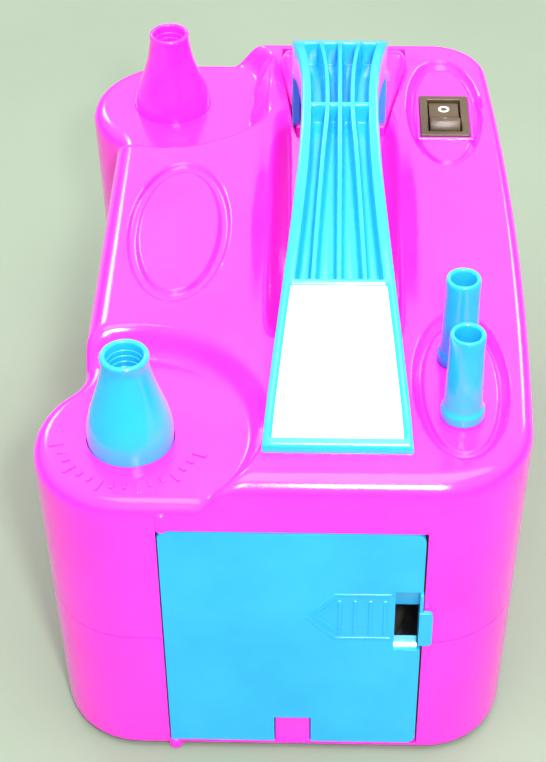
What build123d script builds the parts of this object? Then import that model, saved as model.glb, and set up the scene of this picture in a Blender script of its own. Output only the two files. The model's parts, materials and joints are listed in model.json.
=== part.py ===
"""Two-nozzle electric balloon inflator, built as separate pieces.

Frame: millimetres, +Z up, +Y from the cord door towards the rear, +X to the right when facing
the door. The origin is the middle of the footprint, on the surface that the feet stand on.
"""
from build123d import *
from math import cos, pi, radians, sin, sqrt, tan
import os

os.makedirs("parts", exist_ok=True)

# ---------------------------------------------------------------- housing
LENGTH = 212.0                 # front plane to rear plane
HALF_LENGTH = LENGTH / 2
FOOT_LIFT = 1.5                # underside of the housing above the table
PARTING_Z = 47.0               # joint between the two shells
LOBE_Z = 97.0                  # floor around the two air nozzles
DECK_Z = 105.0                 # main top deck
WALL = 2.4
FIT = 0.2                      # gap between neighbouring mouldings

LOBE_X = -40.0                 # centre of both nozzle lobes
LOBE_Y = 80.0
LOBE_RADIUS = 26.0
WAIST_X = -55.0                # left wall between the lobes
WAIST_FLARE = 12.0
RIGHT_X_FRONT = 63.4           # right wall is a shallow arc
RIGHT_X_MIDDLE = 66.5
RIGHT_X_REAR = 60.7
RIGHT_MIDDLE_Y = -15.0
FRONT_CORNER = 26.0
REAR_CORNER = 18.0
STEP_RADIUS = 35.0             # round step from the deck down to a nozzle floor
STEP_CORNER = 7.0
DECK_EDGE = 6.0                # rounding of the deck's rim
LOBE_EDGE = 4.5
FOOT_EDGE = 4.0                # rounding of the housing's lower rim

# ---------------------------------------------------------------- hand valley under the handle
VALLEY_X = 13.0
VALLEY_Y = 8.0
VALLEY_WIDTH = 36.0
VALLEY_DEPTH = 24.0
VALLEY_RADIUS = 75.0

# ---------------------------------------------------------------- wells and rings in the deck
WELL_DEPTH = 2.0
SWITCH_X = 47.5
SWITCH_Y = 62.0
SWITCH_WELL_Y = 64.2
SWITCH_WELL = (13.3, 29.5)
ROCKER_TILT = 11.0             # degrees; the rear half is down at rest
SPARE_X = 46.6
SPARE_Y = (-77.0, -54.5)
SPARE_WELL_Y = -65.7
SPARE_WELL = (12.8, 26.5)
PEG_RADIUS = 3.0
PEG_HEIGHT = 12.0
RING_X = -32.0
RING_Y = 0.8
RING_OUTER = (14.9, 33.4)
RING_WIDTH = 4.0
RING_DEPTH = 0.8

# ---------------------------------------------------------------- air nozzles
NOZZLE_X = LOBE_X
NEAR_Y = -LOBE_Y
FAR_Y = LOBE_Y
NEAR_TIP_Z = 125.5
FAR_TIP_Z = 123.3
NOZZLE_BORE = 4.75             # mouth radius
NOZZLE_HOLE = 12.8             # opening in the nozzle floor
SKIRT_RADIUS = 11.9
SKIRT_Z = 91.0                 # lower rim of the skirt
STEM_RADIUS = 6.7
STEM_BORE = 4.0
STEM_Z = 70.0
PRESS_TRAVEL = 3.0
GUIDE_BORE = 6.75
GUIDE_RADIUS = 8.6
CUP_RADIUS = 14.2
CUP_FLOOR_Z = 86.4
GUIDE_FLOOR_Z = 55.0
SPRING_SEAT_Z = 57.0
SEAL_Z = 75.0
PLUNGER_OFFSET = -10.9         # microswitch plunger, left of the nozzle axis

# ---------------------------------------------------------------- carry handle
HANDLE_X = 14.2
HANDLE_NEAR_Y = -94.0
HANDLE_FAR_Y = 98.0
SOCKET_NEAR_Y = 57.0
SOCKET_FAR_Y = 101.0
HANDLE_SCREW_Y = (-86.0, -74.0)
LABEL_SPAN = (-91.4, -53.5)
LABEL_DEPTH = 0.6
HANDLE_BORDER = 2.6
CHANNEL_RIB = 1.5

# ---------------------------------------------------------------- cord door and latch
DOOR_LEFT = -31.8
DOOR_RIGHT = 37.2
DOOR_BOTTOM = 4.0
DOOR_TOP = 88.0
DOOR_FRONT = -106.2
DOOR_BACK = -104.0
DOOR_GAP = 0.4
HINGE_X = -30.6
HINGE_Y = -104.9
HINGE_PIN = 1.2
NOTCH = (-2.4, 7.8, 14.3)      # left, right, top of the door's lower notch
FINGER_HOLE = (30.0, 36.2, 46.0, 66.8)

# ---------------------------------------------------------------- cord compartment and cord
TRAY_LEFT = -30.8
TRAY_RIGHT = 39.2
TRAY_FRONT = -101.2
TRAY_REAR = -59.4
TRAY_FLOOR = FOOT_LIFT + WALL
TRAY_TOP = 88.0
TRAY_WALL = 1.6
CORD_RADIUS = 2.5
COIL_X = 4.0
COIL_Z = 38.5
COIL_OUTER = 32.3
COIL_INNER = 21.2
COIL_REAR = -63.3
COIL_FRONT = -85.3
GLAND_Y = -66.0
GLAND_Z = 78.0
GLAND_TIP_X = 17.6
PLUG_X = -18.5
PLUG_Y = -94.5
PLUG_TOP_Z = 50.2
PLUG_RELIEF = 9.0
PLUG_BODY = 20.0
PLUG_BLADE = 15.2
BLADE_OFFSET = 6.35

# ---------------------------------------------------------------- blower
MOTOR_X = 5.0
MOTOR_Y = 12.0
SHAFT_RADIUS = 2.5
FAN_RADIUS = 34.0
JAR_RADIUS = 38.0
JAR_TOP = 75.0
DUCT_RADIUS = 6.5
DUCT_BORE = 5.3
DUCT_Z = 33.0

# ---------------------------------------------------------------- fasteners and feet
CASE_POSTS = [(-52.0, -95.0), (51.0, -92.0), (-52.0, 95.0), (47.0, 93.0), (57.0, 0.0), (-14.0, 97.0)]
POST_RADIUS = 4.6
SCREW_RADIUS = 1.4
HEAD_RADIUS = 2.8
SCREW_SEAT_Z = 38.0
FEET = [(-42.0, -84.0), (46.0, -84.0), (-42.0, 84.0), (44.0, 84.0)]
FOOT_RADIUS = 6.0


# ================================================================ helpers
def block(x0, x1, y0, y1, z0, z1):
    """Box between two corners."""
    middle = Pos((x0 + x1) / 2, (y0 + y1) / 2, (z0 + z1) / 2)
    return middle * Box(x1 - x0, y1 - y0, z1 - z0)


def post(x, y, z0, z1, radius):
    """Upright cylinder."""
    return Pos(x, y, (z0 + z1) / 2) * Cylinder(radius, z1 - z0)


def pipe(x, y, z0, z1, outer, inner):
    """Upright tube."""
    return post(x, y, z0, z1, outer) - post(x, y, z0 - 1, z1 + 1, inner)


def rod_x(y, z, x0, x1, radius):
    """Cylinder along X."""
    return Pos((x0 + x1) / 2, y, z) * Rot(0, 90, 0) * Cylinder(radius, x1 - x0)


def turned(x, y, *edges):
    """Solid of revolution about an upright axis, from (radius, height) edges."""
    outline = Curve() + list(edges)
    face = Plane.XZ * make_face(outline)
    return Pos(x, y, 0) * revolve(face, Axis.Z)


def turned_points(x, y, points):
    """Solid of revolution about an upright axis, from (radius, height) corners."""
    return turned(x, y, Polyline(*points, close=True))


def oval(x, y, half_axes, grow=0.0):
    """Flat ellipse."""
    return Pos(x, y) * Ellipse(half_axes[0] + grow, half_axes[1] + grow)


def prism(face, z0, z1):
    """Upright extrusion of a flat face between two heights."""
    return extrude(Pos(0, 0, z0) * face, z1 - z0)


def hose(points, outer, inner, radii):
    """Bent tube along straight runs with rounded corners."""
    path = FilletPolyline(*points, radius=radii)
    start = Plane(origin=path @ 0, z_dir=path % 0)
    tube = sweep(start * Circle(outer), path=path)
    if inner:
        tube -= sweep(start * Circle(inner), path=path)
    return tube


def route_radii(points):
    """Corner radii of a free cord: 0.45 of the shorter run over the tangent of half the turn."""
    corners = [Vector(*point) for point in points]
    radii = []
    for before, corner, after in zip(corners, corners[1:], corners[2:]):
        run_in = corner - before
        run_out = after - corner
        turn = radians(run_in.get_angle(run_out))
        radii.append(0.45 * min(run_in.length, run_out.length) / tan(turn / 2))
    return radii


def cord_tube(points, name):
    """Solid of a free stretch of cord, checked against its section times its length."""
    radii = route_radii(points)
    path = FilletPolyline(*points, radius=radii)
    start = Plane(origin=path @ 0, z_dir=path % 0)
    tube = sweep(start * Circle(CORD_RADIUS), path=path)
    expected = pi * CORD_RADIUS ** 2 * path.length
    print(name, "length", round(path.length, 1), "smallest radius", round(min(radii), 1),
          "volume ratio", round(tube.volume / expected, 4))
    return tube


# ================================================================ housing
def plan_outline():
    """Outer outline of the housing: two round lobes, a waist and a bowed right wall."""
    bow = ThreePointArc((RIGHT_X_FRONT, -HALF_LENGTH), (RIGHT_X_MIDDLE, RIGHT_MIDDLE_Y),
                        (RIGHT_X_REAR, HALF_LENGTH))
    front = Line((LOBE_X, -HALF_LENGTH), (RIGHT_X_FRONT, -HALF_LENGTH))
    rear = Line((RIGHT_X_REAR, HALF_LENGTH), (LOBE_X, HALF_LENGTH))
    left = Line((LOBE_X, HALF_LENGTH), (LOBE_X, -HALF_LENGTH))
    body = make_face(Curve() + [front, bow, rear, left])
    right_corners = body.vertices().filter_by(lambda v: v.X > 0).sort_by(Axis.Y)
    body = fillet(right_corners[0], FRONT_CORNER)
    rear_corner = body.vertices().filter_by(lambda v: v.X > 0).sort_by(Axis.Y)[-1]
    body = fillet(rear_corner, REAR_CORNER)
    waist = Pos((WAIST_X + LOBE_X) / 2, 0) * Rectangle(LOBE_X - WAIST_X, 2 * LOBE_Y)
    outline = body + waist
    for y in (-LOBE_Y, LOBE_Y):
        outline += Pos(LOBE_X, y) * Circle(LOBE_RADIUS)
    flares = outline.vertices().filter_by(lambda v: v.X < WAIST_X + 1 and abs(v.Y) < LOBE_Y - 10)
    return fillet(flares, WAIST_FLARE)


def deck_outline(plan):
    """Outline of the raised deck: the plan less the round steps about both nozzles."""
    deck = plan
    for y in (-LOBE_Y, LOBE_Y):
        deck -= Pos(LOBE_X, y) * Circle(STEP_RADIUS)
    corners = [v for v in deck.vertices()
               if abs(sqrt((v.X - LOBE_X) ** 2 + (abs(v.Y) - LOBE_Y) ** 2) - STEP_RADIUS) < 0.01]
    return fillet(corners, STEP_CORNER)


PLAN = plan_outline()
DECK = deck_outline(PLAN)
PLAN_INSIDE = offset(PLAN, -WALL)
DECK_INSIDE = offset(DECK, -WALL)


def rounded_prism(face, z0, z1, radius, top=True):
    """Upright extrusion whose upper or lower rim is rounded."""
    solid = prism(face, z0, z1)
    rim = solid.faces().sort_by(Axis.Z)[-1 if top else 0].edges()
    return fillet(rim, radius)


def valley(grow=0.0):
    """Hand space under the handle, or the same space grown by a wall thickness."""
    radius = VALLEY_RADIUS + grow
    half_width = VALLEY_WIDTH / 2 + grow
    centre_z = DECK_Z - VALLEY_DEPTH + VALLEY_RADIUS
    scoop = rod_x(VALLEY_Y, centre_z, VALLEY_X - half_width, VALLEY_X + half_width, radius)
    scoop = fillet(scoop.edges().filter_by(GeomType.CIRCLE), 12 + grow)
    return scoop & block(-40, 66, -60, 80, DECK_Z - VALLEY_DEPTH - 2 * grow - 1, DECK_Z + 1)


def socket_plan(grow=0.0):
    """Plan of the rear handle socket: a trapezoid that widens to the rear."""
    corners = [(1.0, SOCKET_NEAR_Y), (28.5, SOCKET_NEAR_Y), (36.0, 88.0), (36.0, SOCKET_FAR_Y),
               (-4.6, SOCKET_FAR_Y), (-4.6, 86.0)]
    face = make_face(Polyline(*corners, close=True))
    return offset(face, grow, kind=Kind.INTERSECTION) if grow else face


def hinge_boss(z0, z1):
    """Half-round boss on the front wall round a door pin."""
    return post(HINGE_X, HINGE_Y, z0, z1, HINGE_PIN + 1.5)


def door_opening():
    """Space cut in the front wall for the door."""
    return block(DOOR_LEFT - 2 * DOOR_GAP, DOOR_RIGHT + DOOR_GAP, -HALF_LENGTH - 5, TRAY_FRONT - 2.3,
                 DOOR_BOTTOM - DOOR_GAP, DOOR_TOP + DOOR_GAP)


def upper_shell():
    """Upper half: walls, deck, nozzle floors, hand valley, wells and screw posts."""
    outer = rounded_prism(PLAN, PARTING_Z, LOBE_Z, LOBE_EDGE)
    outer += rounded_prism(DECK, LOBE_Z - 12, DECK_Z, DECK_EDGE)
    inner = prism(PLAN_INSIDE, PARTING_Z - 1, LOBE_Z - WALL)
    inner += rounded_prism(DECK_INSIDE, LOBE_Z - 12, DECK_Z - WALL, DECK_EDGE - WALL)
    inner -= valley(WALL)
    ceiling = DECK_Z - WALL
    for centre, size in (((SWITCH_X, SWITCH_WELL_Y), SWITCH_WELL), ((SPARE_X, SPARE_WELL_Y), SPARE_WELL)):
        inner -= prism(oval(*centre, size, WALL), ceiling - WELL_DEPTH, ceiling)
    shell = outer - inner - valley()
    for centre, size in (((SWITCH_X, SWITCH_WELL_Y), SWITCH_WELL), ((SPARE_X, SPARE_WELL_Y), SPARE_WELL)):
        shell -= prism(oval(*centre, size), DECK_Z - WELL_DEPTH, DECK_Z + 1)
    ring = oval(RING_X, RING_Y, RING_OUTER) - oval(RING_X, RING_Y, RING_OUTER, -RING_WIDTH)
    shell -= prism(ring, DECK_Z - RING_DEPTH, DECK_Z + 1)
    shell -= prism(Pos(SWITCH_X, SWITCH_Y) * Rectangle(13.4, 19.4), DECK_Z - 10, DECK_Z)
    shell -= prism(socket_plan(), DECK_Z - 12, DECK_Z + 1)
    for y in HANDLE_SCREW_Y:
        shell -= post(HANDLE_X, y, DECK_Z - 5, DECK_Z + 1, SCREW_RADIUS + 0.2)
    for y in (NEAR_Y, FAR_Y):
        shell -= post(NOZZLE_X, y, LOBE_Z - 6, LOBE_Z + 1, NOZZLE_HOLE)
    for x, y in CASE_POSTS:
        on_lobe = sqrt((x - LOBE_X) ** 2 + (abs(y) - LOBE_Y) ** 2) < STEP_RADIUS
        top = (LOBE_Z if on_lobe else DECK_Z) - WALL
        shell += pipe(x, y, PARTING_Z, top, POST_RADIUS - 0.6, SCREW_RADIUS)
    for y in SPARE_Y:
        shell -= post(SPARE_X, y, DECK_Z - 10, DECK_Z + 1, PEG_RADIUS)
    shell -= door_opening()
    shell += hinge_boss(DOOR_TOP + DOOR_GAP, DOOR_TOP + 6) - block(
        HINGE_X - 5, HINGE_X + 5, -HALF_LENGTH + WALL, -90, 80, 100)
    shell -= post(HINGE_X, HINGE_Y, DOOR_TOP, DOOR_TOP + 3.6, HINGE_PIN + 0.05)
    return shell


def spare_pegs():
    """Two pegs that park the spare nozzles, glued into holes in the deck."""
    floor = DECK_Z - WELL_DEPTH
    pegs = []
    for y in SPARE_Y:
        peg = post(SPARE_X, y, floor - WALL, floor + PEG_HEIGHT, PEG_RADIUS)
        pegs.append(fillet(peg.faces().sort_by(Axis.Z)[-1].edges(), 1.0))
    return pegs


def lower_shell():
    """Lower half: tray-shaped base with intake slots, motor seat, posts and foot recesses."""
    shell = rounded_prism(PLAN, FOOT_LIFT, PARTING_Z, FOOT_EDGE, top=False)
    shell -= prism(PLAN_INSIDE, FOOT_LIFT + WALL, PARTING_Z + 1)
    shell -= door_opening()
    shell += block(NOTCH[0] + FIT, NOTCH[1] - FIT, -HALF_LENGTH + 0.2, -HALF_LENGTH + WALL,
                   DOOR_BOTTOM - DOOR_GAP - 1, NOTCH[2] - FIT)
    shell += hinge_boss(FOOT_LIFT - 1, DOOR_BOTTOM - DOOR_GAP) - block(
        HINGE_X - 5, HINGE_X + 5, -HALF_LENGTH + 3, -90, 0, 10)
    shell -= post(HINGE_X, HINGE_Y, FOOT_LIFT, DOOR_BOTTOM, HINGE_PIN + 0.05)
    shell += pipe(MOTOR_X, MOTOR_Y, FOOT_LIFT + 1, 11.0, JAR_RADIUS + 2.6, JAR_RADIUS + 0.6)
    for step in range(-5, 6):
        half = sqrt(26.0 ** 2 - (5 * step) ** 2)
        shell -= block(MOTOR_X + 5 * step - 1.5, MOTOR_X + 5 * step + 1.5, MOTOR_Y - half,
                       MOTOR_Y + half, 0, FOOT_LIFT + WALL + 1)
    for x, y in CASE_POSTS:
        shell += post(x, y, FOOT_LIFT + 1, PARTING_Z, POST_RADIUS)
        shell -= post(x, y, 0, SCREW_SEAT_Z, HEAD_RADIUS + 0.4)
        shell -= post(x, y, 0, PARTING_Z + 1, SCREW_RADIUS + 0.2)
    for x, y in FEET:
        shell -= post(x, y, 0, FOOT_LIFT + 0.8, FOOT_RADIUS + 0.1)
    return shell


def rubber_feet():
    """Four round feet glued into recesses of the lower shell."""
    feet = []
    for x, y in FEET:
        foot = post(x, y, 0, FOOT_LIFT + 0.8, FOOT_RADIUS)
        feet.append(fillet(foot.faces().sort_by(Axis.Z)[0].edges(), 0.6))
    return feet


def case_screws():
    """Self-tapping screws that hold the two shells together."""
    screws = []
    for x, y in CASE_POSTS:
        screw = post(x, y, SCREW_SEAT_Z - 2.4, SCREW_SEAT_Z, HEAD_RADIUS)
        screw += post(x, y, SCREW_SEAT_Z - 0.5, SCREW_SEAT_Z + 20, SCREW_RADIUS - 0.05)
        screw -= block(x - 2, x + 2, y - 0.4, y + 0.4, SCREW_SEAT_Z - 3, SCREW_SEAT_Z - 1.2)
        screw -= block(x - 0.4, x + 0.4, y - 2, y + 2, SCREW_SEAT_Z - 3, SCREW_SEAT_Z - 1.2)
        screws.append(screw)
    return screws


# ================================================================ handle
HANDLE_WIDTHS = [(HANDLE_NEAR_Y, 19.3), (-76.0, 17.5), (-52.0, 15.0), (-30.0, 13.0), (-8.0, 11.5),
                 (12.0, 11.0), (28.0, 11.3), (42.0, 12.6), (54.0, 14.6), (70.0, 15.3), (98.0, 15.3)]
HANDLE_TOP = [(HANDLE_NEAR_Y, 109.9), (-76.0, 117.0), (-52.0, 126.4), (-20.0, 135.2), (12.0, 139.6),
              (36.0, 139.8), (54.0, 136.0), (70.0, 126.3), (84.0, 116.5), (98.0, 105.0)]
HANDLE_UNDER = [(-66.0, 105.0), (-52.0, 113.5), (-20.0, 123.5), (12.0, 128.0), (34.0, 128.2),
                (50.0, 124.5), (62.0, 116.0), (72.0, 103.5)]


def handle_plan(scale=1.0, trim=0.0):
    """Plan of the handle between its two side curves."""
    right = [(HANDLE_X + scale * w - trim, y) for y, w in HANDLE_WIDTHS]
    left = [(HANDLE_X - scale * w + trim, y) for y, w in HANDLE_WIDTHS]
    sides = [Spline(*right), Spline(*left)]
    near = Line(left[0], right[0])
    far = Line(left[-1], right[-1])
    return make_face(Curve() + [near, sides[0], far, sides[1]])


def side_face(points):
    """Upright face in the YZ plane through the handle's middle."""
    return Plane.YZ * make_face(points)


def handle_side():
    """Side profile of the handle: a solid near foot, an arch and a rear leg."""
    top = Spline(*HANDLE_TOP)
    under = Spline(*HANDLE_UNDER)
    near = Polyline(HANDLE_TOP[0], (HANDLE_NEAR_Y, DECK_Z), HANDLE_UNDER[0])
    far = Polyline(HANDLE_UNDER[-1], (72.0, 98.0), (HANDLE_FAR_Y, 98.0), HANDLE_TOP[-1])
    return side_face(Curve() + [near, under, far, top])


def channel_side(y0, y1, depth):
    """Side profile of a channel cut to a depth below the handle's top curve."""
    top = Spline(*HANDLE_TOP)
    lowered = Spline(*[(y, z - depth) for y, z in HANDLE_TOP])
    near = Line(lowered @ 0, (HANDLE_TOP[0][0], 160.0))
    far = Line(lowered @ 1, (HANDLE_TOP[-1][0], 160.0))
    lid = Line((HANDLE_TOP[0][0], 160.0), (HANDLE_TOP[-1][0], 160.0))
    band = side_face(Curve() + [lowered, near, lid, far])
    window = extrude(band, 60, both=True)
    return window & block(-60, 60, y0, y1, 90, 170)


def channel_strips(y0, y1, half_widths, rib_offsets, rail, rib):
    """Four plan strips between two edge rails and three ribs."""
    strips = []
    edges0 = [-half_widths[0] + rail, -rib_offsets[0] - rib / 2]
    edges1 = [-half_widths[1] + rail, -rib_offsets[1] - rib / 2]
    inner0 = [-rib_offsets[0] + rib / 2, -rib / 2]
    inner1 = [-rib_offsets[1] + rib / 2, -rib / 2]
    for near, far in ((edges0, edges1), (inner0, inner1)):
        for side in (1, -1):
            corners = [(HANDLE_X + side * near[0], y0), (HANDLE_X + side * near[1], y0),
                       (HANDLE_X + side * far[1], y1), (HANDLE_X + side * far[0], y1)]
            strips.append(make_face(Polyline(*corners, close=True)))
    return strips


def carry_handle():
    """Arched handle: flat near plate, then four channels between rails and ribs."""
    body = extrude(handle_side(), 60, both=True) & prism(handle_plan(), 90, 160)
    spans = [(-51.0, 13.2, (14.7, 11.0), (6.9, 3.6), 4.2, 3.2, CHANNEL_RIB),
             (15.4, 66.0, (11.0, 15.0), (3.6, 7.6), 6.0, 2.8, CHANNEL_RIB)]
    for y0, y1, widths, offsets, depth, rail, rib in spans:
        window = channel_side(y0, y1, depth)
        for strip in channel_strips(y0, y1, widths, offsets, rail, rib):
            body -= prism(strip, 90, 160) & window
    recess = prism(handle_plan(1.0, HANDLE_BORDER), 90, 160) & channel_side(*LABEL_SPAN, LABEL_DEPTH)
    body -= recess
    for y in HANDLE_SCREW_Y:
        body -= post(HANDLE_X, y, DECK_Z - 1, DECK_Z + 6, SCREW_RADIUS)
    for x in (HANDLE_X - 8, HANDLE_X + 8):
        body -= post(x, 86.0, 90, 104, SCREW_RADIUS)
    return body


def handle_label():
    """Blank silver plate set into the near part of the handle."""
    near, far = LABEL_SPAN
    plate = prism(handle_plan(1.0, HANDLE_BORDER + FIT), 90, 160) & channel_side(near + FIT, far - FIT, LABEL_DEPTH)
    return plate & extrude(handle_side(), 60, both=True)


def handle_socket():
    """Pink insert at the rear of the deck that holds the handle's rear leg."""
    side = Polyline((SOCKET_NEAR_Y, 93.5), (SOCKET_NEAR_Y, 104.2), (70.0, 107.5), (84.0, 111.8),
                    (92.0, 112.6), (98.0, 110.0), (SOCKET_FAR_Y, 104.6), (SOCKET_FAR_Y, 93.5),
                    close=True)
    body = extrude(side_face(side), 60, both=True) & prism(socket_plan(-FIT / 2), 90, 120)
    pocket = block(HANDLE_X - 16.2, HANDLE_X + 16.2, 69.0, HANDLE_FAR_Y + FIT, 98.0, 130)
    for x in (HANDLE_X - 8, HANDLE_X + 8):
        body -= post(x, 86.0, 90, 104, SCREW_RADIUS + 0.2)
    return body - pocket


def handle_screws():
    """Screws that hold the handle from inside the upper shell."""
    screws = []
    for y in HANDLE_SCREW_Y:
        screws.append((HANDLE_X, y, DECK_Z - WALL))
    for x in (HANDLE_X - 8, HANDLE_X + 8):
        screws.append((x, 86.0, 93.5))
    solids = []
    for x, y, seat in screws:
        solids.append(post(x, y, seat - 2, seat, HEAD_RADIUS) + post(
            x, y, seat - 0.5, seat + 8.0, SCREW_RADIUS - 0.05))
    return solids


# ================================================================ nozzles
def bell(tip_z, floor_radius, y):
    """Bell-shaped air nozzle with a plain skirt and a hollow stem."""
    bulge_z = LOBE_Z + (3.8 if tip_z > FAR_TIP_Z else 0.5)
    flank = Spline((floor_radius, bulge_z), (9.6, bulge_z + 7.5), (7.3, bulge_z + 14.5),
                   (6.25, tip_z - 2.5), tangents=[(0.0, 1.0), (0.0, 1.0)])
    skirt = Polyline((floor_radius, bulge_z), (SKIRT_RADIUS, LOBE_Z), (SKIRT_RADIUS, SKIRT_Z),
                     (STEM_RADIUS, SKIRT_Z), (STEM_RADIUS, STEM_Z), (STEM_BORE, STEM_Z),
                     (STEM_BORE, 104.0), (NOZZLE_BORE - 0.5, 108.0), (NOZZLE_BORE - 0.5, tip_z - 9.0),
                     (NOZZLE_BORE, tip_z - 9.0), (NOZZLE_BORE, tip_z - 0.6))
    lip = ThreePointArc((NOZZLE_BORE, tip_z - 0.6), (5.6, tip_z), (6.25, tip_z - 0.9))
    neck = Line((6.25, tip_z - 0.9), (6.25, tip_z - 2.5))
    body = turned(NOZZLE_X, y, flank, skirt, lip, neck)
    return body - pipe(NOZZLE_X, y, SEAL_Z - 1.0, SEAL_Z + 1.0, STEM_RADIUS + 1, 4.95)


def seal_ring(y):
    """O-ring on a nozzle stem."""
    return Pos(NOZZLE_X, y, SEAL_Z) * Torus(5.85, 0.85)


def valve_guide(y):
    """Cup and sleeve that guide a nozzle, with a hose spigot below."""
    body = turned_points(NOZZLE_X, y, [
        (CUP_RADIUS, LOBE_Z - WALL), (NOZZLE_HOLE, LOBE_Z - WALL), (NOZZLE_HOLE, CUP_FLOOR_Z + 1.4),
        (GUIDE_BORE, CUP_FLOOR_Z + 1.4), (GUIDE_BORE, SPRING_SEAT_Z), (STEM_BORE, SPRING_SEAT_Z),
        (STEM_BORE, 46.0), (DUCT_BORE, 46.0), (DUCT_BORE, GUIDE_FLOOR_Z), (GUIDE_RADIUS, GUIDE_FLOOR_Z),
        (GUIDE_RADIUS, CUP_FLOOR_Z), (CUP_RADIUS, CUP_FLOOR_Z)])
    return body - post(NOZZLE_X + PLUNGER_OFFSET, y, 80, 95, 1.5)


def coil_spring(y, top):
    """Compression spring under a nozzle, as a solid of its turns."""
    bottom = SPRING_SEAT_Z + 0.45
    height = top - 0.9 - SPRING_SEAT_Z
    helix = Helix(pitch=height / 5, height=height, radius=5.4)
    start = Plane(origin=helix @ 0, z_dir=helix % 0)
    wire = sweep(start * Circle(0.45), path=helix, is_frenet=True)
    return Pos(NOZZLE_X, y, bottom) * wire


def thrust_ring():
    """Ring that carries the near nozzle's press and lets the nozzle turn."""
    return pipe(NOZZLE_X, NEAR_Y, STEM_Z - 1.6, STEM_Z - 0.1, STEM_RADIUS - 0.1, STEM_BORE)


def microswitch(y):
    """Body of a small snap-action switch below a nozzle's cup."""
    x = NOZZLE_X + PLUNGER_OFFSET
    body = block(x - 3.4, x + 2.1, y - 6.4, y + 6.4, 76.0, CUP_FLOOR_Z)
    body = fillet(body.edges().filter_by(Axis.Z), 0.8)
    body -= post(x, y, 80.0, 95.0, 1.25)
    for dy in (-4.5, 0.0, 4.5):
        body += block(x - 0.9, x - 0.4, y + dy - 0.9, y + dy + 0.9, 71.5, 76.5)
    return body


def plunger(y):
    """Microswitch plunger that the skirt pushes down."""
    x = NOZZLE_X + PLUNGER_OFFSET
    pin = post(x, y, 83.5, SKIRT_Z - 0.1, 1.15)
    return fillet(pin.faces().sort_by(Axis.Z)[-1].edges(), 0.5)


def spare_nozzle(y):
    """Small push-on nozzle parked on a peg."""
    floor = DECK_Z - WELL_DEPTH
    outside = [(3.35, floor + 0.05), (5.65, floor + 0.05), (5.65, floor + 3.6), (4.95, floor + 7.0),
               (4.55, floor + 15.0), (4.25, floor + 27.4), (3.9, floor + 28.0), (3.2, floor + 28.0),
               (3.2, floor + 13.0), (3.35, floor + 12.0)]
    return turned_points(SPARE_X, y, outside)


# ================================================================ switch
def switch_frame():
    """Rocker switch housing with its bezel, open for the button."""
    floor = DECK_Z - WELL_DEPTH
    bezel = block(SWITCH_X - 7.7, SWITCH_X + 7.7, SWITCH_Y - 11.25, SWITCH_Y + 11.25, floor, floor + 1.8)
    bezel = fillet(bezel.edges().filter_by(Axis.Z), 0.8)
    body = block(SWITCH_X - 6.6, SWITCH_X + 6.6, SWITCH_Y - 9.6, SWITCH_Y + 9.6, floor - 13, floor + 0.1)
    frame = bezel + body
    frame -= block(SWITCH_X - 5.15, SWITCH_X + 5.15, SWITCH_Y - 9.0, SWITCH_Y + 9.0, floor - 7, floor + 3)
    frame -= rod_x(SWITCH_Y, floor - 0.6, SWITCH_X - 5.75, SWITCH_X + 5.75, 1.05)
    return frame


def rocker_button():
    """Rocker with its two faces meeting at a shallow V, tipped to its rear."""
    floor = DECK_Z - WELL_DEPTH
    pivot_z = floor - 0.6
    side = Polyline((-8.4, 2.6), (0.0, 1.6), (8.4, 2.6), (8.3, -1.4), (3.0, -3.6), (-3.0, -3.6),
                    (-8.3, -1.4), close=True)
    face = Plane.YZ * make_face(side)
    body = extrude(face, 4.9, both=True)
    body = fillet(body.edges().filter_by(Axis.X).sort_by(Axis.Z)[-3:-1], 0.5)
    body += rod_x(0, 0, -5.6, 5.6, 0.95)
    return Pos(SWITCH_X, SWITCH_Y, pivot_z) * Rot(-ROCKER_TILT, 0, 0) * body


def switch_terminals():
    """Two spade terminals under the switch."""
    bottom = DECK_Z - WELL_DEPTH - 13
    blades = []
    for y in (SWITCH_Y - 5.0, SWITCH_Y + 5.0):
        blades.append(block(SWITCH_X - 0.4, SWITCH_X + 0.4, y - 3.1, y + 3.1, bottom - 8, bottom))
    return blades


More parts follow.
